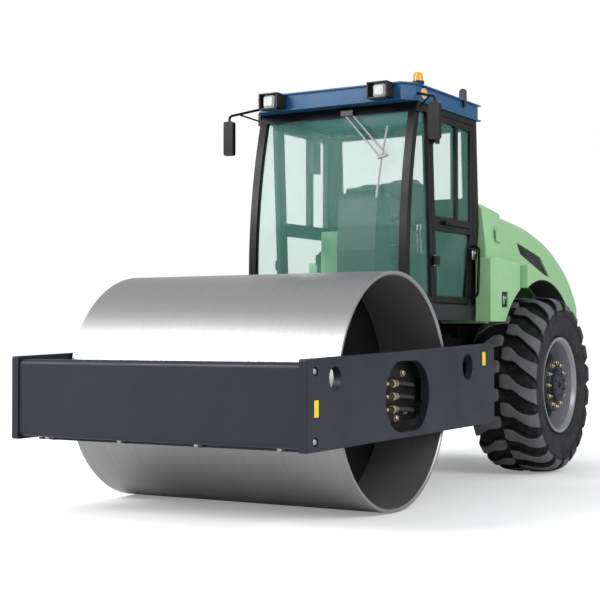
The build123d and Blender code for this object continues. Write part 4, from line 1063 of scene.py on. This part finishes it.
def rear_lamps():
    """A red and an amber lamp in black rings at each side of the counterweight."""
    y = box_of("counterweight")[1][1] - 0.006
    ring = [(0.0, 0.046), (0.008, 0.046), (0.010, 0.041)]
    lens = [(0.009, 0.038), (0.011, 0.036), (0.012, 0.020)]
    lamps = Piece()
    for z, mark in ((0.885, 1), (0.785, 2)):
        lamps.both(turned(ring, (0.52, y, z), BACK, 36))
        lamps.both(turned(lens, (0.52, y, z), BACK, 36), mark)
    lamps.make("rear_lamps", ["lamp black", "red", "amber"], "amber_lens")


class ROLLER_OT_body_fittings(bpy.types.Operator):
    """Latches, vents, painted shade inside the arches, louvres and rear lamps of the bodywork"""

    bl_idname = "roller.body_fittings"
    bl_label = "Body fittings"

    def execute(self, context):
        box_latches()
        bulkhead_vents()
        # Black strips under the fender and side box arches are painted shade
        for name, body, strip in (("fender_arch_shade", "hood", (0.713, 0.946, 40.5, 113.8)),
                                  ("box_arch_shade", "rear", (0.714, 0.893, 116.2, 143.0))):
            arch_shade_strip = Piece()
            arch_shade_strip.both(arch(*strip))
            arch_shade_strip.make(name, ["lamp black"], "chassis_paint", body)
        louvres()
        rear_lamps()
        return {"FINISHED"}


# Stage and panel

def pale_floor():
    """A round pale floor that glows for the camera, and more so away from the machine."""
    radius, corners = 30.0, 64
    a = np.linspace(0, 2 * pi, corners, endpoint=False)
    ring = np.column_stack([radius * np.cos(a), radius * np.sin(a), np.zeros(corners)])
    mesh = bpy.data.meshes.new("floor")
    mesh.from_pydata(ring.tolist(), [], [tuple(range(corners))])
    floor = placed("floor", mesh)
    pale = Finish("pale floor", (0.86, 0.86, 0.86), 0.9, Emission_Color=(1, 1, 1, 1))
    glow = pale.spread(pale.length(pale.place), 4.0, 9.0, 0.25, 0.85)
    seen = pale.node("LightPath", output="Is Camera Ray")
    pale.drive("Emission Strength", pale.maths("MULTIPLY", seen, glow))
    mesh.materials.append(pale.material)


def surroundings(scene):
    """White where the camera or glass looks, and softer light for everything else."""
    world = bpy.data.worlds.new("surroundings")
    scene.world = world
    world.use_nodes = True
    tree = world.node_tree
    light = tree.nodes["Background"]
    light.inputs["Color"].default_value = (0.96, 0.98, 1.0, 1)
    light.inputs["Strength"].default_value = 0.52
    white = add_node(tree, "Background", {"Color": (1, 1, 1, 1)})
    path = add_node(tree, "LightPath").outputs
    rays = {0: path["Is Camera Ray"], 1: path["Is Transmission Ray"]}
    first = add_node(tree, "Math", rays, operation="MAXIMUM")
    mix = add_node(tree, "MixShader", {0: first.outputs[0], 1: light.outputs[0],
                                       2: white.outputs[0]})
    tree.links.new(mix.outputs[0], tree.nodes["World Output"].inputs[0])


class ROLLER_OT_stage(bpy.types.Operator):
    """Floor, soft light, white surroundings and the camera"""

    bl_idname = "roller.stage"
    bl_label = "Stage"

    def execute(self, context):
        scene = context.scene
        data = bpy.data.cameras.new("view")
        data.lens, data.sensor_width, data.clip_end = CAMERA_LENS, 36.0, 200.0
        scene.camera = placed("view", data, CAMERA_PLACE, CAMERA_TURN)
        scene.view_settings.view_transform = "Standard"
        pale_floor()
        surroundings(scene)
        aim = Vector((0.0, -0.8, 1.2))
        for name, place, size, power in (("key", (-5.5, -9.0, 6.5), 4.5, 950.0),
                                         ("side", (9.5, -3.0, 6.0), 5.0, 520.0),
                                         ("rear", (-3.0, 8.0, 7.0), 6.0, 350.0)):
            light = bpy.data.lights.new(name, "AREA")
            light.size, light.energy = size, power
            toward = (aim - Vector(place)).to_track_quat("-Z", "Y")
            placed(name, light, place, toward.to_euler())
        return {"FINISHED"}


class ROLLER_PT_panel(bpy.types.Panel):
    """The roller's settings and steps"""

    bl_idname = "ROLLER_PT_panel"
    bl_label = "Road roller"
    bl_space_type = "VIEW_3D"
    bl_region_type = "UI"
    bl_category = "Roller"

    def draw(self, context):
        for name, kind in GROUPS.items():
            box = self.layout.box()
            for key in kind.__annotations__:
                box.prop(getattr(context.scene, name), key)
        for step in STEPS:
            self.layout.operator(step.bl_idname)


STEPS = (ROLLER_OT_stage, ROLLER_OT_finishes, ROLLER_OT_tyres, ROLLER_OT_frame_fittings,
         ROLLER_OT_cab_fittings, ROLLER_OT_seat, ROLLER_OT_body_fittings)
GROUPS = {"roller_paint": PaintSettings, "roller_tyre": TyreSettings,
          "roller_fittings": FittingSettings}
CLASSES = (*GROUPS.values(), *STEPS, ROLLER_PT_panel)


def register():
    """Registers the classes and hangs the settings on the scene."""
    for item in CLASSES:
        bpy.utils.register_class(item)
    for name, kind in GROUPS.items():
        setattr(bpy.types.Scene, name, bpy.props.PointerProperty(type=kind))


def unregister():
    """Takes the settings and classes away again."""
    for name in GROUPS:
        delattr(bpy.types.Scene, name)
    for item in reversed(CLASSES):
        bpy.utils.unregister_class(item)


def main():
    """Registers the classes and runs every step in order."""
    register()
    bpy.ops.roller.stage()
    bpy.ops.roller.finishes()
    bpy.ops.roller.tyres()
    bpy.ops.roller.frame_fittings()
    bpy.ops.roller.cab_fittings()
    bpy.ops.roller.seat()
    bpy.ops.roller.body_fittings()


if __name__ == "__main__":
    main()
